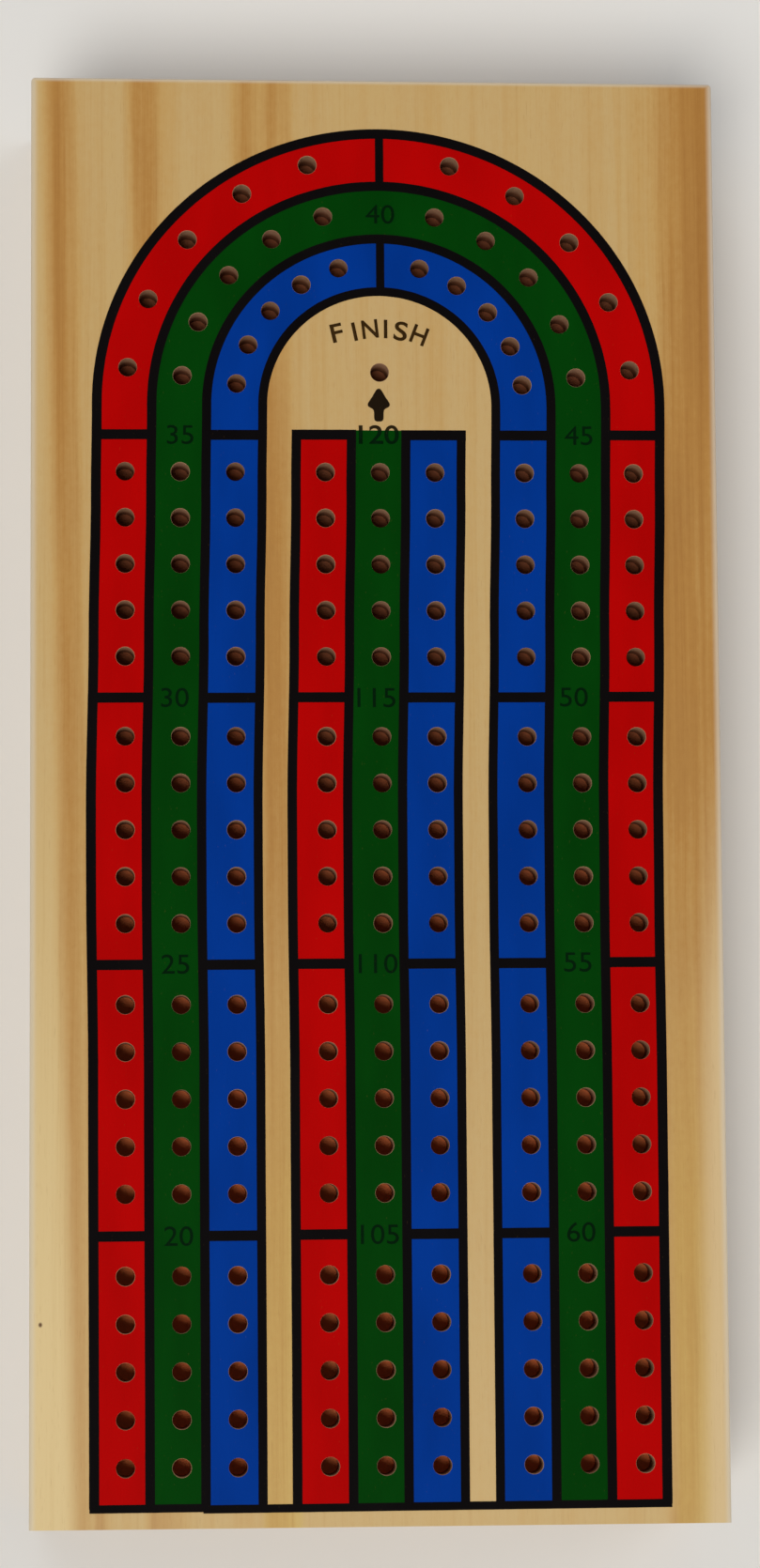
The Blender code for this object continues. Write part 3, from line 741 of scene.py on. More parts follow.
# ------------------------------------------------------------------ the two wooden halves
def pine_block(half):
    """The plain block: playing-face and free-end edges eased, the others nearly sharp."""
    face_z = level(0.0, half)
    shape = bmesh.new()
    bmesh.ops.create_cube(shape, size=1.0)
    bmesh.ops.scale(shape, vec=(WIDTH, LENGTH, HALF_T), verts=shape.verts)
    middle = (0, (SEAM_Y + FREE_Y) / 2, level(HALF_T / 2, half))
    bmesh.ops.translate(shape, vec=middle, verts=shape.verts)
    eased, crisp = [], []
    for e in shape.edges:
        mid = (e.verts[0].co + e.verts[1].co) / 2
        outer = abs(mid.z - face_z) < 1e-3 and mid.y > SEAM_Y + 1e-3
        upright = abs(mid.y - FREE_Y) < 1e-3 and abs(abs(mid.x) - WIDTH / 2) < 1e-3
        (eased if outer or upright else crisp).append(e)
    rounding = {"profile": 0.5, "affect": "EDGES"}
    bmesh.ops.bevel(shape, geom=eased, offset=ARRIS, segments=6, **rounding)
    crisp = [e for e in crisp if e.is_valid]
    bmesh.ops.bevel(shape, geom=crisp, offset=INNER_ARRIS, segments=2, **rounding)
    return shape


def peg_hole_cutters(half):
    """Each hole has a broken rim, a straight wall and a drill point."""
    profile = [(-0.30, HOLE_R + 0.30), (0.03, HOLE_R), (HOLE_DEPTH, HOLE_R), (HOLE_DEPTH + 0.45, 0.0)]
    shape = bmesh.new()
    for x, y in HOLES[half]:
        place = PLACE[half] @ Matrix.Translation((x, y, 0)) @ Matrix.Rotation(math.pi, 4, "X")
        add_turned(shape, profile, 36, place)
    return mesh_of("holes", shape)


def hinge_profile(half, steps=14):
    """Side view (y, z) of the mortise: the leaf's floor, then round the barrel past the seam."""
    floor_z = LEAF_FACE - LEAF_T - MORTISE_GAP
    end_y = AXIS_Y + LEAF_L + MORTISE_GAP
    start = -math.asin((AXIS_Z - floor_z) / BARREL_CLEAR)
    points = [(end_y, AXIS_Z + 0.6), (end_y, floor_z)]
    for i in range(steps + 1):
        a = start + (-math.pi / 2 - start) * i / steps
        points.append((AXIS_Y + BARREL_CLEAR * math.cos(a), AXIS_Z + BARREL_CLEAR * math.sin(a)))
    points += [(AXIS_Y - 2.0, AXIS_Z - BARREL_CLEAR), (AXIS_Y - 2.0, AXIS_Z + 0.6)]
    return [(y, level(z, half)) for y, z in points]


def inner_span(half, depth, over=2.0):
    """Low and high z of a cut into the inner face, reaching past the face by over."""
    return sorted((level(HALF_T - depth, half), level(HALF_T + over, half)))


def recess_cutters(half):
    """Well, peg pockets, hinge mortises and magnet pockets."""
    shape = bmesh.new()
    well_y = SEAM_Y + BLOCK + WELL_L[half] / 2
    well = rounded_rect(0, well_y, WELL_W, WELL_L[half], WELL_R)
    add_prism(shape, well, *inner_span(half, WELL_DEPTH))
    if half == LOWER:
        for i in (-1, 0, 1):
            pocket = rounded_rect(i * POCKET_STEP, SEAM_Y + POCKET_D, POCKET_W, POCKET_L, POCKET_R)
            add_prism(shape, pocket, *inner_span(half, POCKET_DEPTH))
    reach = LEAF_W / 2 + MORTISE_GAP
    for side in (-1, 1):
        x = side * HINGE_X
        add_prism(shape, hinge_profile(half), x - reach, x + reach, axis="X")
    for side in (-1, 1):
        disc = ring_points(side * MAGNET_X, FREE_Y - MAGNET_FROM_END, MAGNET_R + 0.12, 48)
        add_prism(shape, disc, *inner_span(half, MAGNET_T + 2 * MAGNET_GAP))
    return mesh_of("recesses", shape)


def pilot_cutters(half):
    shape = bmesh.new()
    span = inner_span(half, LEAF_SET + SCREW_L + 0.5, over=0.4)
    for side in (-1, 1):
        for screw_side in (-1, 1):
            x = side * HINGE_X + screw_side * SCREW_X
            add_prism(shape, ring_points(x, AXIS_Y + SCREW_Y, PILOT_R, 24), *span)
    return mesh_of("pilots", shape)


def make_board(half):
    name = HALF_NAME[half] + "_half"
    obj = new_object(name + "_pine", mesh_of(name + "_pine", pine_block(half)), [PINE[half]])
    carve(obj, [peg_hole_cutters(half), recess_cutters(half), pilot_cutters(half)])
    finish_part(obj, name, HALF_NAME[half] + "_board", angle=32)


make_board(UPPER)
make_board(LOWER)

# ------------------------------------------------------------------ printing helpers
FILM_BOTTOM = -0.012               # ink starts just under the face
LINE_TOP, FRAME_TOP, ARROW_TOP, TEXT_TOP = 0.032, 0.014, 0.034, 0.040


def print_object(name, half, shape, mats):
    obj = new_object(name, mesh_of(name, shape, PLACE[half], recalc=False), mats)
    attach(obj, HALF_NAME[half] + "_half")
    return obj


def area(poly):
    return 0.5 * sum(a[0] * b[1] - b[0] * a[1] for a, b in zip(poly, poly[1:] + poly[:1]))


def print_layer(name, half, regions, top, ink, holes=()):
    """A thin film of ink over a union of outlines, with the peg holes punched out."""
    outlines = [poly if area(poly) > 0 else poly[::-1] for poly in regions]
    first_hole = len(outlines)
    xs = [x for poly in regions for x, _ in poly]
    ys = [y for poly in regions for _, y in poly]
    for x, y in holes:
        if min(xs) - 2 < x < max(xs) + 2 and min(ys) - 2 < y < max(ys) + 2:
            uneven = 0.012 * math.sin(13.7 * x + 5.1 * y)
            outlines.append(ring_points(x, y, HOLE_R + 0.02 + uneven, 36))
    coords, faces = [], []
    for poly in outlines:
        faces.append(list(range(len(coords), len(coords) + len(poly))))
        coords += [Vector(p) for p in poly]
    verts, _, tris, _, _, origins = geometry.delaunay_2d_cdt(coords, [], faces, 1, 1e-5, True)
    kept = [t for t, origin in zip(tris, origins) if origin and max(origin) < first_hole]
    shape = bmesh.new()
    used = sorted({i for t in kept for i in t})
    high, low = {}, {}
    for level_verts, z in ((high, top), (low, FILM_BOTTOM)):
        for i in used:
            level_verts[i] = shape.verts.new((verts[i][0], verts[i][1], z))
    edges = {}
    for t in kept:
        shape.faces.new([high[i] for i in t])
        shape.faces.new([low[i] for i in reversed(t)])
        for a, b in zip(t, t[1:] + t[:1]):
            edges[(a, b)] = True
    for a, b in edges:
        if (b, a) not in edges:
            shape.faces.new((high[a], low[a], low[b], high[b]))
    print_object(name, half, shape, [INK[ink]])


def print_lanes(half, lanes):
    """lanes: the outlines of each lane colour in turn."""
    for n, (colour, regions) in enumerate(zip(LANE_COLOURS, lanes)):
        name = "%s_lane_%s" % (HALF_NAME[half], colour)
        print_layer(name, half, regions, 0.020 + 0.001 * n, colour, HOLES[half])


def wobble(run, seed):
    """The slightly uneven edge that a screen leaves on wood."""
    slow = noise.noise(Vector((run * 0.55, seed * 7.13, 0.0)))
    quick = noise.noise(Vector((run * 2.1, seed * 3.7, 5.0)))
    return 0.022 * slow + 0.014 * quick


def offset_path(path, distance, seed):
    """A path moved sideways, with an uneven edge."""
    out, run = [], 0.0
    for i, p in enumerate(path):
        before, after = path[max(0, i - 1)], path[min(len(path) - 1, i + 1)]
        along = Vector((after[0] - before[0], after[1] - before[1])).normalized()
        if i:
            run += math.dist(p, path[i - 1])
        shift = distance + math.copysign(wobble(run, seed), distance)
        out.append((p[0] - along.y * shift, p[1] + along.x * shift))
    return out


def stroke(path, width, seed):
    return offset_path(path, width / 2, seed) + offset_path(path, -width / 2, seed + 0.5)[::-1]


def line(x0, y0, x1, y1, steps):
    return [(x0 + (x1 - x0) * i / steps, y0 + (y1 - y0) * i / steps) for i in range(steps + 1)]


# right side of the blunt arrow that points to +y, about its own middle: x, y
ARROW = [
    (0.0, 2.1419), (0.1826, 2.0932), (0.3651, 1.8985), (0.5598, 1.5821), (0.8762, 1.0223),
    (1.1805, 0.5720), (1.3874, 0.2312), (1.4361, 0.0122), (1.3630, -0.1826), (1.1318, -0.3529),
    (0.8519, -0.4868), (0.6694, -0.6815), (0.6207, -1.0345), (0.6085, -1.7403),
    (0.5355, -2.0081), (0.3773, -2.1298), (0.1460, -2.1784),
]


def print_arrow(half, x, y):
    outline = ARROW + [(-px, py) for px, py in ARROW[::-1] if px > 0]
    outline = [(x + px, y + py) for px, py in outline]
    print_layer(HALF_NAME[half] + "_arrow", half, [outline], ARROW_TOP, "arrow")


def text_sheet(body, cap, bold):
    """A word or number as a flat sheet, cap tall and centred on its own box."""
    curve = bpy.data.curves.new("text", "FONT")
    curve.body = body
    curve.size = 1.0
    curve.align_x, curve.align_y = "CENTER", "CENTER"
    curve.resolution_u = 6
    curve.offset = bold
    carrier = new_object("text", curve, [])
    bpy.context.view_layer.update()
    evaluated = carrier.evaluated_get(bpy.context.evaluated_depsgraph_get())
    mesh = bpy.data.meshes.new_from_object(evaluated)
    bpy.data.objects.remove(carrier)
    bpy.data.curves.remove(curve)
    sheet = bmesh.new()
    sheet.from_mesh(mesh)
    bpy.data.meshes.remove(mesh)
    bmesh.ops.remove_doubles(sheet, verts=sheet.verts, dist=1e-6)
    xs = [v.co.x for v in sheet.verts]
    ys = [v.co.y for v in sheet.verts]
    scale = cap / (max(ys) - min(ys))
    mid = Vector(((max(xs) + min(xs)) / 2, (max(ys) + min(ys)) / 2, 0))
    for v in sheet.verts:
        v.co = (v.co - mid) * scale
        v.co.z = 0.0
    return sheet


def thicken(sheet):
    """A flat sheet becomes a closed film of ink."""
    flat = list(sheet.faces)
    for f in flat:
        f.normal_update()
        if f.normal.z < 0:
            f.normal_flip()
    for v in sheet.verts:
        v.co.z = TEXT_TOP
    out = bmesh.ops.extrude_face_region(sheet, geom=flat, use_keep_orig=True)
    for v in out["geom"]:
        if isinstance(v, bmesh.types.BMVert):
            v.co.z = FILM_BOTTOM
    bmesh.ops.recalc_face_normals(sheet, faces=sheet.faces)


def text_film(items, bold=0.0):
    """items: text, x, y, cap height, turn in degrees, width factor."""
    whole = bmesh.new()
    for body, x, y, cap, turn, widen in items:
        sheet = text_sheet(body, cap, bold)
        thicken(sheet)
        place = Matrix.Translation((x, y, 0)) @ Matrix.Rotation(math.radians(turn), 4, "Z")
        place = place @ Matrix.Diagonal((widen, 1, 1, 1))
        bmesh.ops.transform(sheet, matrix=place, verts=sheet.verts)
        mesh = bpy.data.meshes.new("text")
        sheet.to_mesh(mesh)
        sheet.free()
        whole.from_mesh(mesh)
        bpy.data.meshes.remove(mesh)
    return whole


# ------------------------------------------------------------------ the upper face's print
# The print is laid out from the arch's middle: x from TRACK_X and y from ARC_D.
# how far it wanders from the drilling down the board: y, shift in x
WANDER = [
    (0, 0.0), (-11.8049, -0.13387), (-29.8165, -0.43812), (-52.2093, -0.80322),
    (-64.1359, -0.80322), (-86.407, -0.63284), (-141.172, -0.55982),
]
# how much it narrows: y, share of x
NARROW = [(0, 0.0), (-29.8165, -0.001), (-52.2093, -0.0017), (-86.407, -0.005), (-141.172, -0.0068)]
BAR_SLOPE = 0.0028
COLUMN_STEP = 1.0953
CLOSE_Y = -140.85558
LINE_W, BAR_W = 1.19266, 1.30219
# the four arched lines, outermost first: centre x, centre y, half width, height
ARCHES = [
    (-0.042595, 0.1217, 36.47349, 35.6581), (-0.03651, -0.04868, 29.41489, 28.89158),
    (-0.06085, -0.19472, 22.31978, 22.05204), (-0.042595, -0.15821, 15.109055, 15.06646),
]
ARCH_W = [1.26568, 1.217, LINE_W, 1.14398]
# the centre column's four lines, and the top of each of its lanes
CENTRE = [-10.77045, -3.651, 3.4076, 10.5879]
CENTRE_W = [1.217, LINE_W, LINE_W, 1.14398]
CENTRE_LINE_TOP = -3.5293
GREEN_TOP = -3.34675
CENTRE_LANE_TOPS = [-3.8944, GREEN_TOP, -3.8944]
BARS = [-3.91874, -38.07993, -72.32631, -106.68222]
BLUE_BAR_DROP = 0.04868            # the bars over the blue lanes sit this much lower
# closing line: where its two parts meet, how far each is off CLOSE_Y, and its width
CLOSE_STEP_X, CLOSE_OFF, CLOSE_W = -23.123, (0.10953, -0.07302), 1.02228
# short bars across the top of the arch: outer line, x, seed
CROWN_BARS, CROWN_W = [(0, 0.1217, 91), (2, 0.17038, 93)], 1.07096

# figures: text, x, y
UPPER_CAP = 2.48268
UPPER_FIGURES = [
    ("35", -25.800, -4.016), ("45", 25.800, -3.894), ("40", 0.183, 25.131),
    ("30", -26.531, -38.153), ("115", -0.669, -38.153), ("50", 24.827, -38.031),
    ("25", -26.531, -72.351), ("110", -0.669, -72.351), ("55", 24.9485, -72.229),
    ("20", -26.1655, -106.792), ("105", -0.669, -106.731), ("60", 25.022, -106.609),
]
LAST_FIGURE = ("120", -0.1434, -3.8944)
# lettering round the arch: letter, x, y, cap height, turn, width factor
LETTER_CAP = 2.434
LETTERS = [
    ("F", -5.489, 9.444, LETTER_CAP, 13, 1.12), ("I", -3.213, 9.614, LETTER_CAP, 12, 1.0),
    ("N", -1.205, 9.967, LETTER_CAP, 6.5, 0.92), ("I", 0.828, 9.992, LETTER_CAP, 0, 1.0),
    ("S", 2.799, 9.712, LETTER_CAP * 1.04, -9, 1.2), ("H", 5.184, 9.213, LETTER_CAP, -21, 0.96),
]


def table_value(table, y):
    """Smooth value from a short table of (y, value), y falling."""
    if y >= table[0][0]:
        return table[0][1]
    for (y0, before), (y1, after) in zip(table, table[1:]):
        if y >= y1:
            t = (y - y0) / (y1 - y0)
            t = t * t * (3 - 2 * t)
            return before + (after - before) * t
    return table[-1][1]


def drift(x, y):
    return x + table_value(WANDER, y) + table_value(NARROW, y) * x


def on_face(points):
    return [(TRACK_X + x, ARC_D + y) for x, y in points]


def column_path(x, top):
    """A line from top down to the closing line."""
    steps = max(2, int(abs(top - CLOSE_Y) / COLUMN_STEP))
    return [(drift(x, y), y) for x, y in line(x, top, x, CLOSE_Y, steps)]


def arch_path(x, y, half_width, height, steps=96):
    """Up the left side, over the arch and down the right side."""
    angles = [math.pi * i / steps for i in range(steps, -1, -1)]
    arc = [(x + half_width * math.cos(a), y + height * math.sin(a)) for a in angles]
    left = column_path(x - half_width, y)[::-1][:-1]
    return left + arc + column_path(x + half_width, y)[1:]


def bar(x0, x1, y, width, seed, steps=8):
    """A nearly level bar."""
    path = [(x, y + BAR_SLOPE * x) for x, y in line(x0, y, x1, y, steps)]
    return stroke(on_face(path), width, seed)


def upper_print():
    arches = [on_face(arch_path(*arch)) for arch in ARCHES]
    lanes = []
    for i, top in enumerate(CENTRE_LANE_TOPS):
        column = column_path(CENTRE[i], top)
        beside = column_path(CENTRE[i + 1], top)
        lanes.append([arches[i] + arches[i + 1][::-1], on_face(column) + on_face(beside)[::-1]])
    print_lanes(UPPER, lanes)

    black = [stroke(path, ARCH_W[k], 1 + k) for k, path in enumerate(arches)]
    for i, x in enumerate(CENTRE):
        black.append(stroke(on_face(column_path(x, CENTRE_LINE_TOP)), CENTRE_W[i], 11 + i))
    left = [x - half_width for x, _, half_width, _ in ARCHES]
    right = [x + half_width for x, _, half_width, _ in ARCHES]
    for n, bar_y in enumerate(BARS):
        over = LINE_W / 2 if n == 0 else 0.0
        # x from, x to, drop, seed
        for x0, x1, drop, seed in (
            (left[0], left[1], 0.0, 21), (left[2], left[3], BLUE_BAR_DROP, 31),
            (right[1], right[0], 0.0, 41), (right[3], right[2], BLUE_BAR_DROP, 51),
            (CENTRE[0] - over, CENTRE[1] + over, 0.0, 61),
            (CENTRE[2] - over, CENTRE[3] + over, BLUE_BAR_DROP, 71),
        ):
            y = bar_y - drop
            black.append(bar(drift(x0, y), drift(x1, y), y, BAR_W, seed + n))
    # closing line, with a small step where its two parts meet
    start_x = drift(left[0], CLOSE_Y) - LINE_W / 2
    end_x = drift(right[0], CLOSE_Y) + LINE_W / 2
    black.append(bar(start_x, CLOSE_STEP_X, CLOSE_Y + CLOSE_OFF[0], CLOSE_W, 81, steps=14))
    black.append(bar(CLOSE_STEP_X, end_x, CLOSE_Y + CLOSE_OFF[1], CLOSE_W, 82, steps=40))
    crowns = [y + height for _, y, _, height in ARCHES]
    for k, x, seed in CROWN_BARS:
        black.append(stroke(on_face(line(x, crowns[k + 1], x, crowns[k], 6)), CROWN_W, seed))
    print_layer("upper_lines", UPPER, black, LINE_TOP, "black", HOLES[UPPER])


def upper_last_figure():
    """The last figure stands half on the green lane and half on bare wood."""
    body, x, y = LAST_FIGURE
    film = text_film([(body, TRACK_X + x, ARC_D + y, UPPER_CAP, 0, 1.17)], bold=0.012)
    edge_y = ARC_D + GREEN_TOP
    parts = list(film.verts) + list(film.edges) + list(film.faces)
    bmesh.ops.bisect_plane(film, geom=parts, plane_co=(0, edge_y, 0), plane_no=(0, 1, 0))
    inks = [INK["figures"], INK["figures_bare"]]
    obj = print_object("upper_figure_last", UPPER, film, inks)
    limit = (SEAM_Y + edge_y) * MM
    for poly in obj.data.polygons:
        poly.material_index = 1 if poly.center.y > limit else 0


def upper_text():
    figures = [(body, TRACK_X + x, ARC_D + y, UPPER_CAP, 0, 1.10) for body, x, y in UPPER_FIGURES]
    print_object("upper_figures", UPPER, text_film(figures), [INK["figures"]])
    upper_last_figure()
    letters = [(body, TRACK_X + x, ARC_D + y, *rest) for body, x, y, *rest in LETTERS]
    print_object("upper_lettering", UPPER, text_film(letters, bold=0.015), [INK["lettering"]])
    print_arrow(UPPER, TRACK_X - 0.1217, ARC_D)


# ------------------------------------------------------------------ the lower face's print
PRINT_SHIFT = -0.45                # the print sits a little off the drilling here too
TOP_Y = -2.5
TURN_X, TURN_Y = TRACK_X + R_GREEN / 2 + PRINT_SHIFT, -TURN_D
BOX_END = -(START_D + PITCH + START_GAP / 2)
TURN_RADII = [R_GREEN / 2 + LANE * (1.5 - i) for i in range(4)]
LEFT_LINES = [COLUMN_X[0] + LANE * (i - 1.5) + PRINT_SHIFT for i in range(4)]
LOWER_BARS = [-(FIRST_D + GROUP * i + 4 * PITCH + START_GAP / 2) for i in range(3)]
TALLY_H, TALLY_R, TALLY_FRAME = 6.4, 0.8, 0.45
LOWER_CAP = 2.09324


def turn_path(radius, steps=56):
    """Down the centre column, round the turn, and up the right column."""
    left, right = TURN_X - radius, TURN_X + radius
    angles = [math.pi * i / steps for i in range(steps + 1)]
    arc = [(TURN_X - radius * math.cos(a), TURN_Y - radius * math.sin(a)) for a in angles]
    down = line(left, TOP_Y, left, TURN_Y, 60)[:-1]
    return down + arc + line(right, TURN_Y, right, TOP_Y, 60)[1:]


def tally_bar(row, grow=0.0):
    y = -(GAMES_D + GAMES_ROW * row)
    width = LANE * GAMES_HOLES + 2 * grow
    return rounded_rect(TRACK_X + PRINT_SHIFT, y, width, TALLY_H + 2 * grow, TALLY_R)


def level_line(x0, x1, y, seed, steps=8):
    return stroke(line(x0, y, x1, y, steps), LINE_W, seed)


def lower_print():
    turns = [turn_path(radius) for radius in TURN_RADII]
    columns = [line(x, TOP_Y, x, BOX_END, 60) for x in LEFT_LINES]
    lanes = [
        [turns[i] + turns[i + 1][::-1], columns[i] + columns[i + 1][::-1], tally_bar(i)]
        for i in range(3)
    ]
    print_lanes(LOWER, lanes)
    # a slightly larger black bar lies under each tally colour
    frames = [tally_bar(row, TALLY_FRAME) for row in range(3)]
    print_layer("lower_tally_frames", LOWER, frames, FRAME_TOP, "black", HOLES[LOWER])

    black = [stroke(path, LINE_W, 101 + i) for i, path in enumerate(turns)]
    black += [stroke(path, LINE_W, 111 + i) for i, path in enumerate(columns)]
    for n, y in enumerate(LOWER_BARS):
        for i in (0, 2):
            black.append(level_line(LEFT_LINES[i], LEFT_LINES[i + 1], y, 121 + n))
        for side in (-1, 1):
            for i in (0, 2):
                x0, x1 = TURN_X + side * TURN_RADII[i], TURN_X + side * TURN_RADII[i + 1]
                black.append(level_line(x0, x1, y, 131 + n + 4 * i))
    over = LINE_W / 2
    left_end = LEFT_LINES[0] - over
    black.append(level_line(left_end, TURN_X + TURN_RADII[0] + over, TOP_Y, 141, steps=40))
    black.append(level_line(left_end, LEFT_LINES[3] + over, BOX_END, 142, steps=40))
    # with this the start line crosses all three lanes of the left column
    black.append(level_line(LEFT_LINES[1], LEFT_LINES[2], LOWER_BARS[2], 151))
    print_layer("lower_lines", LOWER, black, LINE_TOP, "black", HOLES[LOWER])


def lower_text():
    green_left = LEFT_LINES[1] + LANE / 2
    items = []
    for x, bodies in (
        (green_left, ("10", "5")), (TURN_X + R_GREEN / 2, ("70", "75", "80")),
        (TURN_X - R_GREEN / 2, ("95", "90", "85")),
    ):
        items += [(body, x, y, LOWER_CAP, 0, 1.06) for body, y in zip(bodies, LOWER_BARS)]
    print_object("lower_figures", LOWER, text_film(items), [INK["figures"]])
    tally_y = -(GAMES_D - 6.6)
    items = [(str(i + 1), tally_x(i), tally_y, LOWER_CAP, 0, 1.06) for i in range(GAMES_HOLES)]
    print_object("lower_tally_figures", LOWER, text_film(items), [INK["lettering"]])
    print_arrow(LOWER, green_left, BOX_END - 4.6)


upper_print()
upper_text()
lower_print()
lower_text()


# ------------------------------------------------------------------ hinges and their screws
def along_axis(x):
    """Local +Z along the fold's axis, towards +X from x."""
    return Matrix.Translation((x, AXIS_Y, AXIS_Z)) @ Matrix.Rotation(math.radians(90), 4, "Y")


def screw_place(hinge_x, screw_side, half):
    """Local +Z runs into the wood from the leaf's face."""
    spot = (hinge_x + screw_side * SCREW_X, AXIS_Y + SCREW_Y, level(LEAF_FACE, half))
    flip = Matrix.Rotation(math.pi, 4, "X") if half == LOWER else Matrix.Identity(4)
    return Matrix.Translation(spot) @ flip


def leaf_outline(half):
    """The plate's outline about x = 0, and the x spans of its knuckles."""
    edge = LEAF_W / 2
    outer = (LEAF_W - KNUCKLE_MID - 2 * KNUCKLE_GAP) / 2
    near, clear, far = AXIS_Y + 0.72, AXIS_Y + BARREL_CLEAR, AXIS_Y + LEAF_L
    # the lower leaf holds the two outer knuckles, the upper leaf the middle one
    if half == LOWER:
        spans = [(-edge, -edge + outer), (edge - outer, edge)]
        mid, end_y, mid_y = KNUCKLE_MID / 2 + KNUCKLE_GAP, near, clear
    else:
        spans = [(-KNUCKLE_MID / 2, KNUCKLE_MID / 2)]
        mid, end_y, mid_y = KNUCKLE_MID / 2, clear, near
    root = [(-edge, end_y), (-mid, end_y), (-mid, mid_y), (mid, mid_y), (mid, end_y), (edge, end_y)]
    radius = 0.7
    angles = [math.radians(a) for a in range(90, -1, -15)]
    corner = [
        (edge - radius + radius * math.sin(a), far - radius + radius * math.cos(a)) for a in angles
    ]
    return root + corner + [(-x, y) for x, y in corner[::-1]], spans


def leaf_plate(hinge_x, outline, half):
    face_z = level(LEAF_FACE, half)
    shape = bmesh.new()
    low, high = sorted((level(LEAF_FACE - LEAF_T, half), face_z))
    add_prism(shape, [(hinge_x + x, y) for x, y in outline], low, high)
    bmesh.ops.recalc_face_normals(shape, faces=shape.faces)
    rims = [
        e for e in shape.edges
        if all(abs(v.co.z - face_z) < 1e-4 for v in e.verts) and e.calc_face_angle(0) > 1.0
    ]
    bmesh.ops.bevel(shape, geom=rims, offset=0.09, segments=2, profile=0.5, affect="EDGES")
    return shape


def knuckle(start_x, length):
    radius, ease = BARREL_R * math.cos(math.pi / 16) + 0.01, 0.1
    end = [(0, radius - ease), (0.03, radius - 0.3 * ease), (ease, radius)]
    profile = end + [(length - height, r) for height, r in end[::-1]]
    return turned("knuckle", profile, 48, along_axis(start_x))


def leaf_cutters(hinge_x, half):
    """The pin's bore, and the countersinks of both screws."""
    bore = bmesh.new()
    circle = ring_points(AXIS_Y, AXIS_Z, BORE_R, 32)
    add_prism(bore, circle, hinge_x - LEAF_W, hinge_x + LEAF_W, axis="X")
    sinks = bmesh.new()
    rim, over = HEAD_R + 0.14, 0.05
    slope = (HEAD_R - SHANK_R) / 0.7
    profile = [(-over, rim + slope * over), (LEAF_T + over, rim - slope * (LEAF_T + over))]
    for screw_side in (-1, 1):
        add_turned(sinks, profile, 40, screw_place(hinge_x, screw_side, half))
    return [mesh_of("bore", bore), mesh_of("countersinks", sinks)]


def screw_profile():
    """(height, radius): domed rim, countersunk head, threaded shank and point."""
    profile = [
        (0.0, 0.0), (0.0, HEAD_R - 0.12), (0.035, HEAD_R - 0.02), (0.10, HEAD_R),
        (0.16, HEAD_R - 0.05), (0.75, SHANK_R - 0.05),
    ]
    height = 0.95
    while height < SCREW_L - 1.3:
        profile += [(height, SHANK_R - 0.22), (height + 0.22, SHANK_R), (height + 0.34, SHANK_R)]
        height += 0.62
    return profile + [(SCREW_L - 0.9, SHANK_R - 0.35), (SCREW_L - 0.1, 0.12), (SCREW_L, 0.0)]


def make_screw(side_name, side, half, n):
    place = screw_place(side * HINGE_X, (-1, 1)[n - 1], half)
    part = "screw_%s_%s_%d" % (side_name, HALF_NAME[half], n)
    mesh = turned("screw", screw_profile(), 32, place)
    screw = new_object(part + "_brass", mesh, [SCREW_BRASS])
    slot = bmesh.new()
    bmesh.ops.create_cube(slot, size=1.0)
    bmesh.ops.scale(slot, vec=(0.42, 2 * HEAD_R + 1, 0.66), verts=slot.verts)
    # every slot stopped at its own angle
    angle = math.radians(25 + 40 * n + 31 * side + 17 * half)
    carve(screw, [mesh_of("slot", slot, place @ Matrix.Rotation(angle, 4, "Z"))])
    finish_part(screw, HALF_NAME[half] + "_half", part)


def make_leaf(side_name, side, half):
    hinge_x = side * HINGE_X
    part = "hinge_%s_%s_leaf" % (side_name, HALF_NAME[half])
    outline, spans = leaf_outline(half)
    plate = mesh_of(part + "_brass", leaf_plate(hinge_x, outline, half))
    leaf = new_object(part + "_brass", plate, [BRASS])
    carve(leaf, [knuckle(hinge_x + start, end - start) for start, end in spans], "UNION")
    carve(leaf, leaf_cutters(hinge_x, half))
    finish_part(leaf, HALF_NAME[half] + "_half", part)


def make_pin(side_name, side):
    end = [(0, 0), (0, PIN_R - 0.16), (0.05, PIN_R - 0.05), (0.16, PIN_R)]
    length = LEAF_W - 0.2
    profile = end + [(length - height, radius) for height, radius in end[::-1]]
    part = "hinge_%s_pin" % side_name
    mesh = turned("pin", profile, 32, along_axis(side * HINGE_X - length / 2))
    pin = new_object(part + "_steel", mesh, [STEEL])
    finish_part(pin, "lower_half", part)


SIDES = (("left", -1), ("right", 1))
for side_name, side in SIDES:
    for half in (LOWER, UPPER):
        make_leaf(side_name, side, half)
        for n in (1, 2):
            make_screw(side_name, side, half, n)
    make_pin(side_name, side)


# ------------------------------------------------------------------ magnets
def make_magnet(side_name, side, half, base_z):
    ease = 0.22
    angles = [math.radians(a) for a in range(0, 91, 18)]
    edge = [(ease * (1 - math.cos(a)), MAGNET_R - ease * (1 - math.sin(a))) for a in angles]
    far_edge = [(MAGNET_T - height, radius) for height, radius in edge[::-1]]
    profile = [(0, 0)] + edge + far_edge + [(MAGNET_T, 0)]
    place = Matrix.Translation((side * MAGNET_X, FREE_Y - MAGNET_FROM_END, base_z))
    part = "magnet_%s_%s" % (HALF_NAME[half], side_name)
    magnet = new_object(part + "_nickel", turned("magnet", profile, 56, place), [NICKEL])
    finish_part(magnet, HALF_NAME[half] + "_half", part)


for half, base_z in (
    (LOWER, HALF_T - MAGNET_GAP - MAGNET_T), (UPPER, CLOSED_T - HALF_T + MAGNET_GAP)
):
    for side_name, side in SIDES:
        make_magnet(side_name, side, half, base_z)

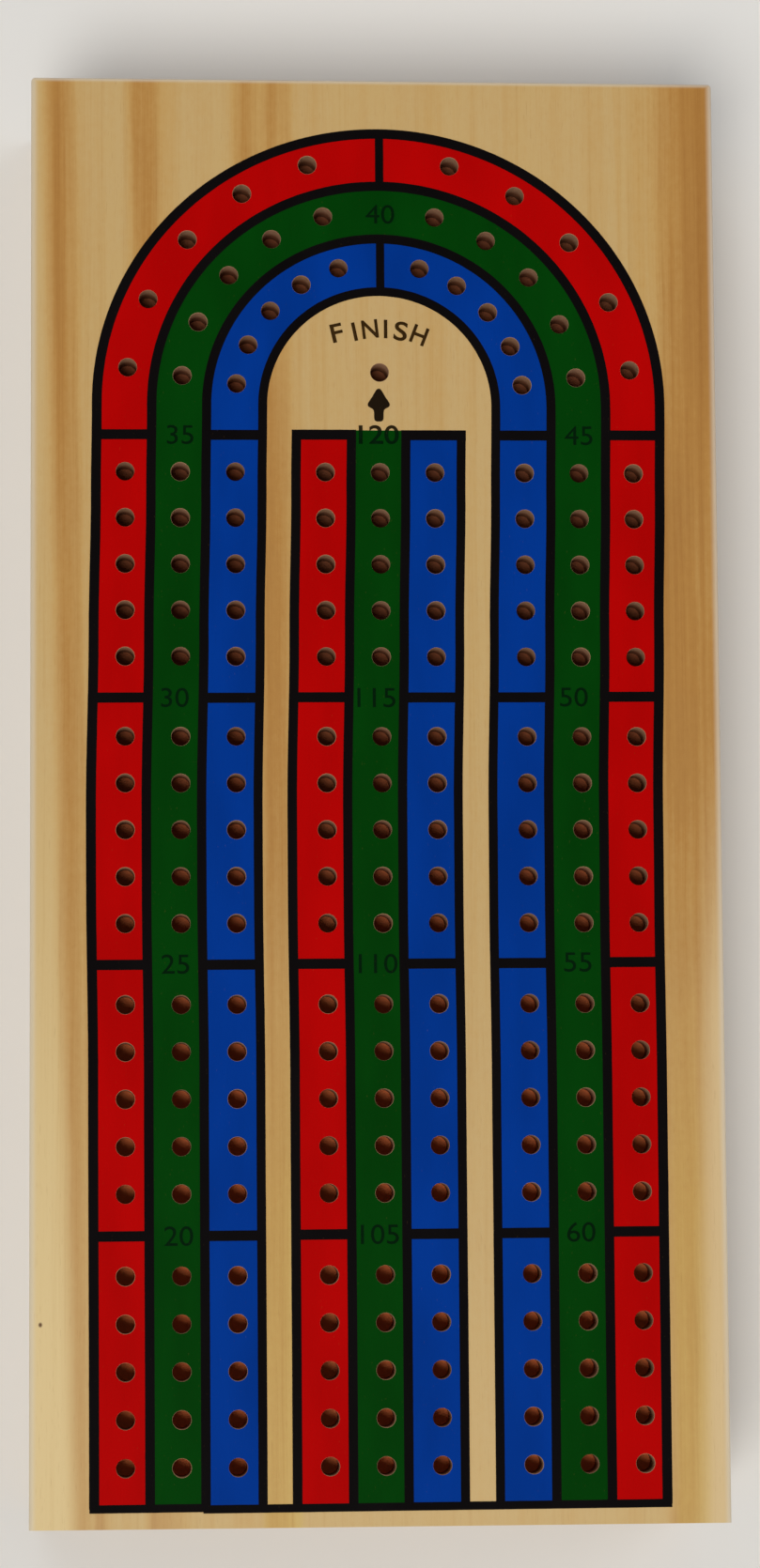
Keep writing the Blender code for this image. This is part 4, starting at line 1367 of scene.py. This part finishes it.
# ------------------------------------------------------------------ pegs
# (height, radius) from the thin end to the top of the round head
PEG = [
    (0.0, 0.0), (0.0, 0.42), (0.06, 0.62), (0.18, 0.80), (0.4, 0.92), (3.0, 0.96), (6.0, 1.01),
    (9.0, 1.08), (13.0, 1.20), (17.0, 1.34), (20.2, 1.48), (21.2, 1.52), (21.6, 1.50),
    (21.85, 1.36), (22.1, 1.18), (22.45, 1.08), (22.8, 1.12), (23.1, 1.26), (23.5, 1.47),
    (24.0, 1.65), (24.6, 1.74), (25.2, 1.71), (25.8, 1.56), (26.3, 1.31), (26.7, 0.98),
    (26.95, 0.52), (27.0, 0.0),
]
PEG_LENGTH, PEG_HEAD_R = PEG[-1][0], 1.75
PEG_Z = HALF_T - POCKET_DEPTH + PEG_HEAD_R - 0.22
PEG_COLOURS = [(-1, "red", (172, 10, 12)), (0, "green", (8, 88, 26)), (1, "blue", (10, 62, 158))]


def make_peg(pocket, colour, n, mat):
    """Pegs lie along Y, the head a little raised; the middle one is turned end for end."""
    x = pocket * POCKET_STEP + PEG_STEP * (n - 2)
    place = Matrix.Translation((x, SEAM_Y + POCKET_D + 0.7 * (2 - n), PEG_Z))
    turn = (180 if n == 2 else 0) + 1.1 * (n - 2) * (pocket or 1)
    place = place @ Matrix.Rotation(math.radians(turn), 4, "Z")
    place = place @ Matrix.Rotation(math.radians(PEG_LEAN), 4, "X")
    place = place @ Matrix.Translation((0, -PEG_LENGTH / 2, 0))
    place = place @ Matrix.Rotation(math.radians(-90), 4, "X")
    part = "peg_%s_%d" % (colour, n)
    peg = new_object(part + "_turned", turned("peg", PEG, 48, place), [mat])
    finish_part(peg, part, part, angle=34)


for pocket, colour, levels in PEG_COLOURS:
    mat = plastic_material("peg_plastic_" + colour, srgb(*levels), seed=pocket + 2)
    for n in (1, 2, 3):
        make_peg(pocket, colour, n, mat)


# ------------------------------------------------------------------ stage, light and camera
def make_floor():
    mat = Shader("floor_pale")
    cloud = mat.noise(mat.position(), scale=0.004, detail=3.0)
    colour = mat.mix(cloud, (0.70, 0.69, 0.67), (0.76, 0.75, 0.73))
    mat.set(Base_Color=colour, Roughness=0.7, Specular_IOR_Level=0.2)
    shape = bmesh.new()
    bmesh.ops.create_grid(shape, x_segments=2, y_segments=2, size=3000.0)
    mesh = mesh_of("floor", shape, Matrix.Translation((0, 0, -0.05)))
    new_object("floor", mesh, [mat.material])


def make_world():
    """Light that fades from the horizon up; seen directly, a backdrop as pale as the floor."""
    world = bpy.data.worlds.new("studio")
    bpy.context.scene.world = world
    world.use_nodes = True
    nodes, links = world.node_tree.nodes, world.node_tree.links
    coord = nodes.new("ShaderNodeTexCoord")
    split = nodes.new("ShaderNodeSeparateXYZ")
    links.new(coord.outputs["Generated"], split.inputs[0])
    fade = nodes.new("ShaderNodeMapRange")
    fade.interpolation_type = "SMOOTHSTEP"
    # from and to height, then the strength at each
    for i, value in enumerate((0.10, 0.80, 0.62, 0.16), 1):
        fade.inputs[i].default_value = value
    links.new(split.outputs[2], fade.inputs[0])
    background = nodes["Background"]
    background.inputs[0].default_value = (0.94, 0.97, 1.0, 1.0)
    links.new(fade.outputs[0], background.inputs[1])
    paper = nodes.new("ShaderNodeBackground")
    paper.inputs[0].default_value = (0.705, 0.690, 0.655, 1.0)
    rays = nodes.new("ShaderNodeLightPath")
    either = nodes.new("ShaderNodeMixShader")
    links.new(rays.outputs["Is Camera Ray"], either.inputs[0])
    links.new(background.outputs[0], either.inputs[1])
    links.new(paper.outputs[0], either.inputs[2])
    links.new(either.outputs[0], nodes["World Output"].inputs["Surface"])


def soft_light(name, toward, spread, strength, colour):
    """A wide, even studio source in one direction."""
    lamp = bpy.data.lights.new(name, "SUN")
    lamp.angle = math.radians(spread)
    lamp.energy = strength
    lamp.color = colour
    obj = bpy.data.objects.new(name, lamp)
    obj.rotation_mode = "QUATERNION"
    obj.rotation_quaternion = Vector(toward).to_track_quat("Z", "Y")
    bpy.context.scene.collection.objects.link(obj)


def make_camera():
    """Looks down on the upper face, placed from the arch's middle."""
    camera = bpy.data.cameras.new("camera")
    camera.sensor_width = 36.0
    camera.lens = 96.40
    camera.clip_start, camera.clip_end = 0.05, 20.0
    obj = bpy.data.objects.new("camera", camera)
    right = Vector((0.997905, -0.006464, 0.064373))
    upward = Vector((0.000124, 0.995186, 0.098004))
    backward = Vector((-0.064697, -0.097791, 0.993102))
    turn = Matrix((right, upward, backward)).transposed().to_4x4()
    arch_middle = Vector((TRACK_X, SEAM_Y + ARC_D, CLOSED_T))
    place = (arch_middle + Vector((-35.12992, -101.96635, 534.90923))) * MM
    obj.matrix_world = Matrix.Translation(place) @ turn
    bpy.context.scene.collection.objects.link(obj)
    bpy.context.scene.camera = obj


make_floor()
make_world()
soft_light("key", toward=(-0.26, -0.50, 1.28), spread=24, strength=1.96, colour=(1.0, 0.975, 0.93))
soft_light("fill", toward=(0.95, 0.35, 0.75), spread=40, strength=0.55, colour=(0.95, 0.97, 1.0))
soft_light("back", toward=(-0.35, 1.05, 0.70), spread=40, strength=0.45, colour=(0.97, 0.98, 1.0))
make_camera()
bpy.context.scene.view_settings.view_transform = "Standard"
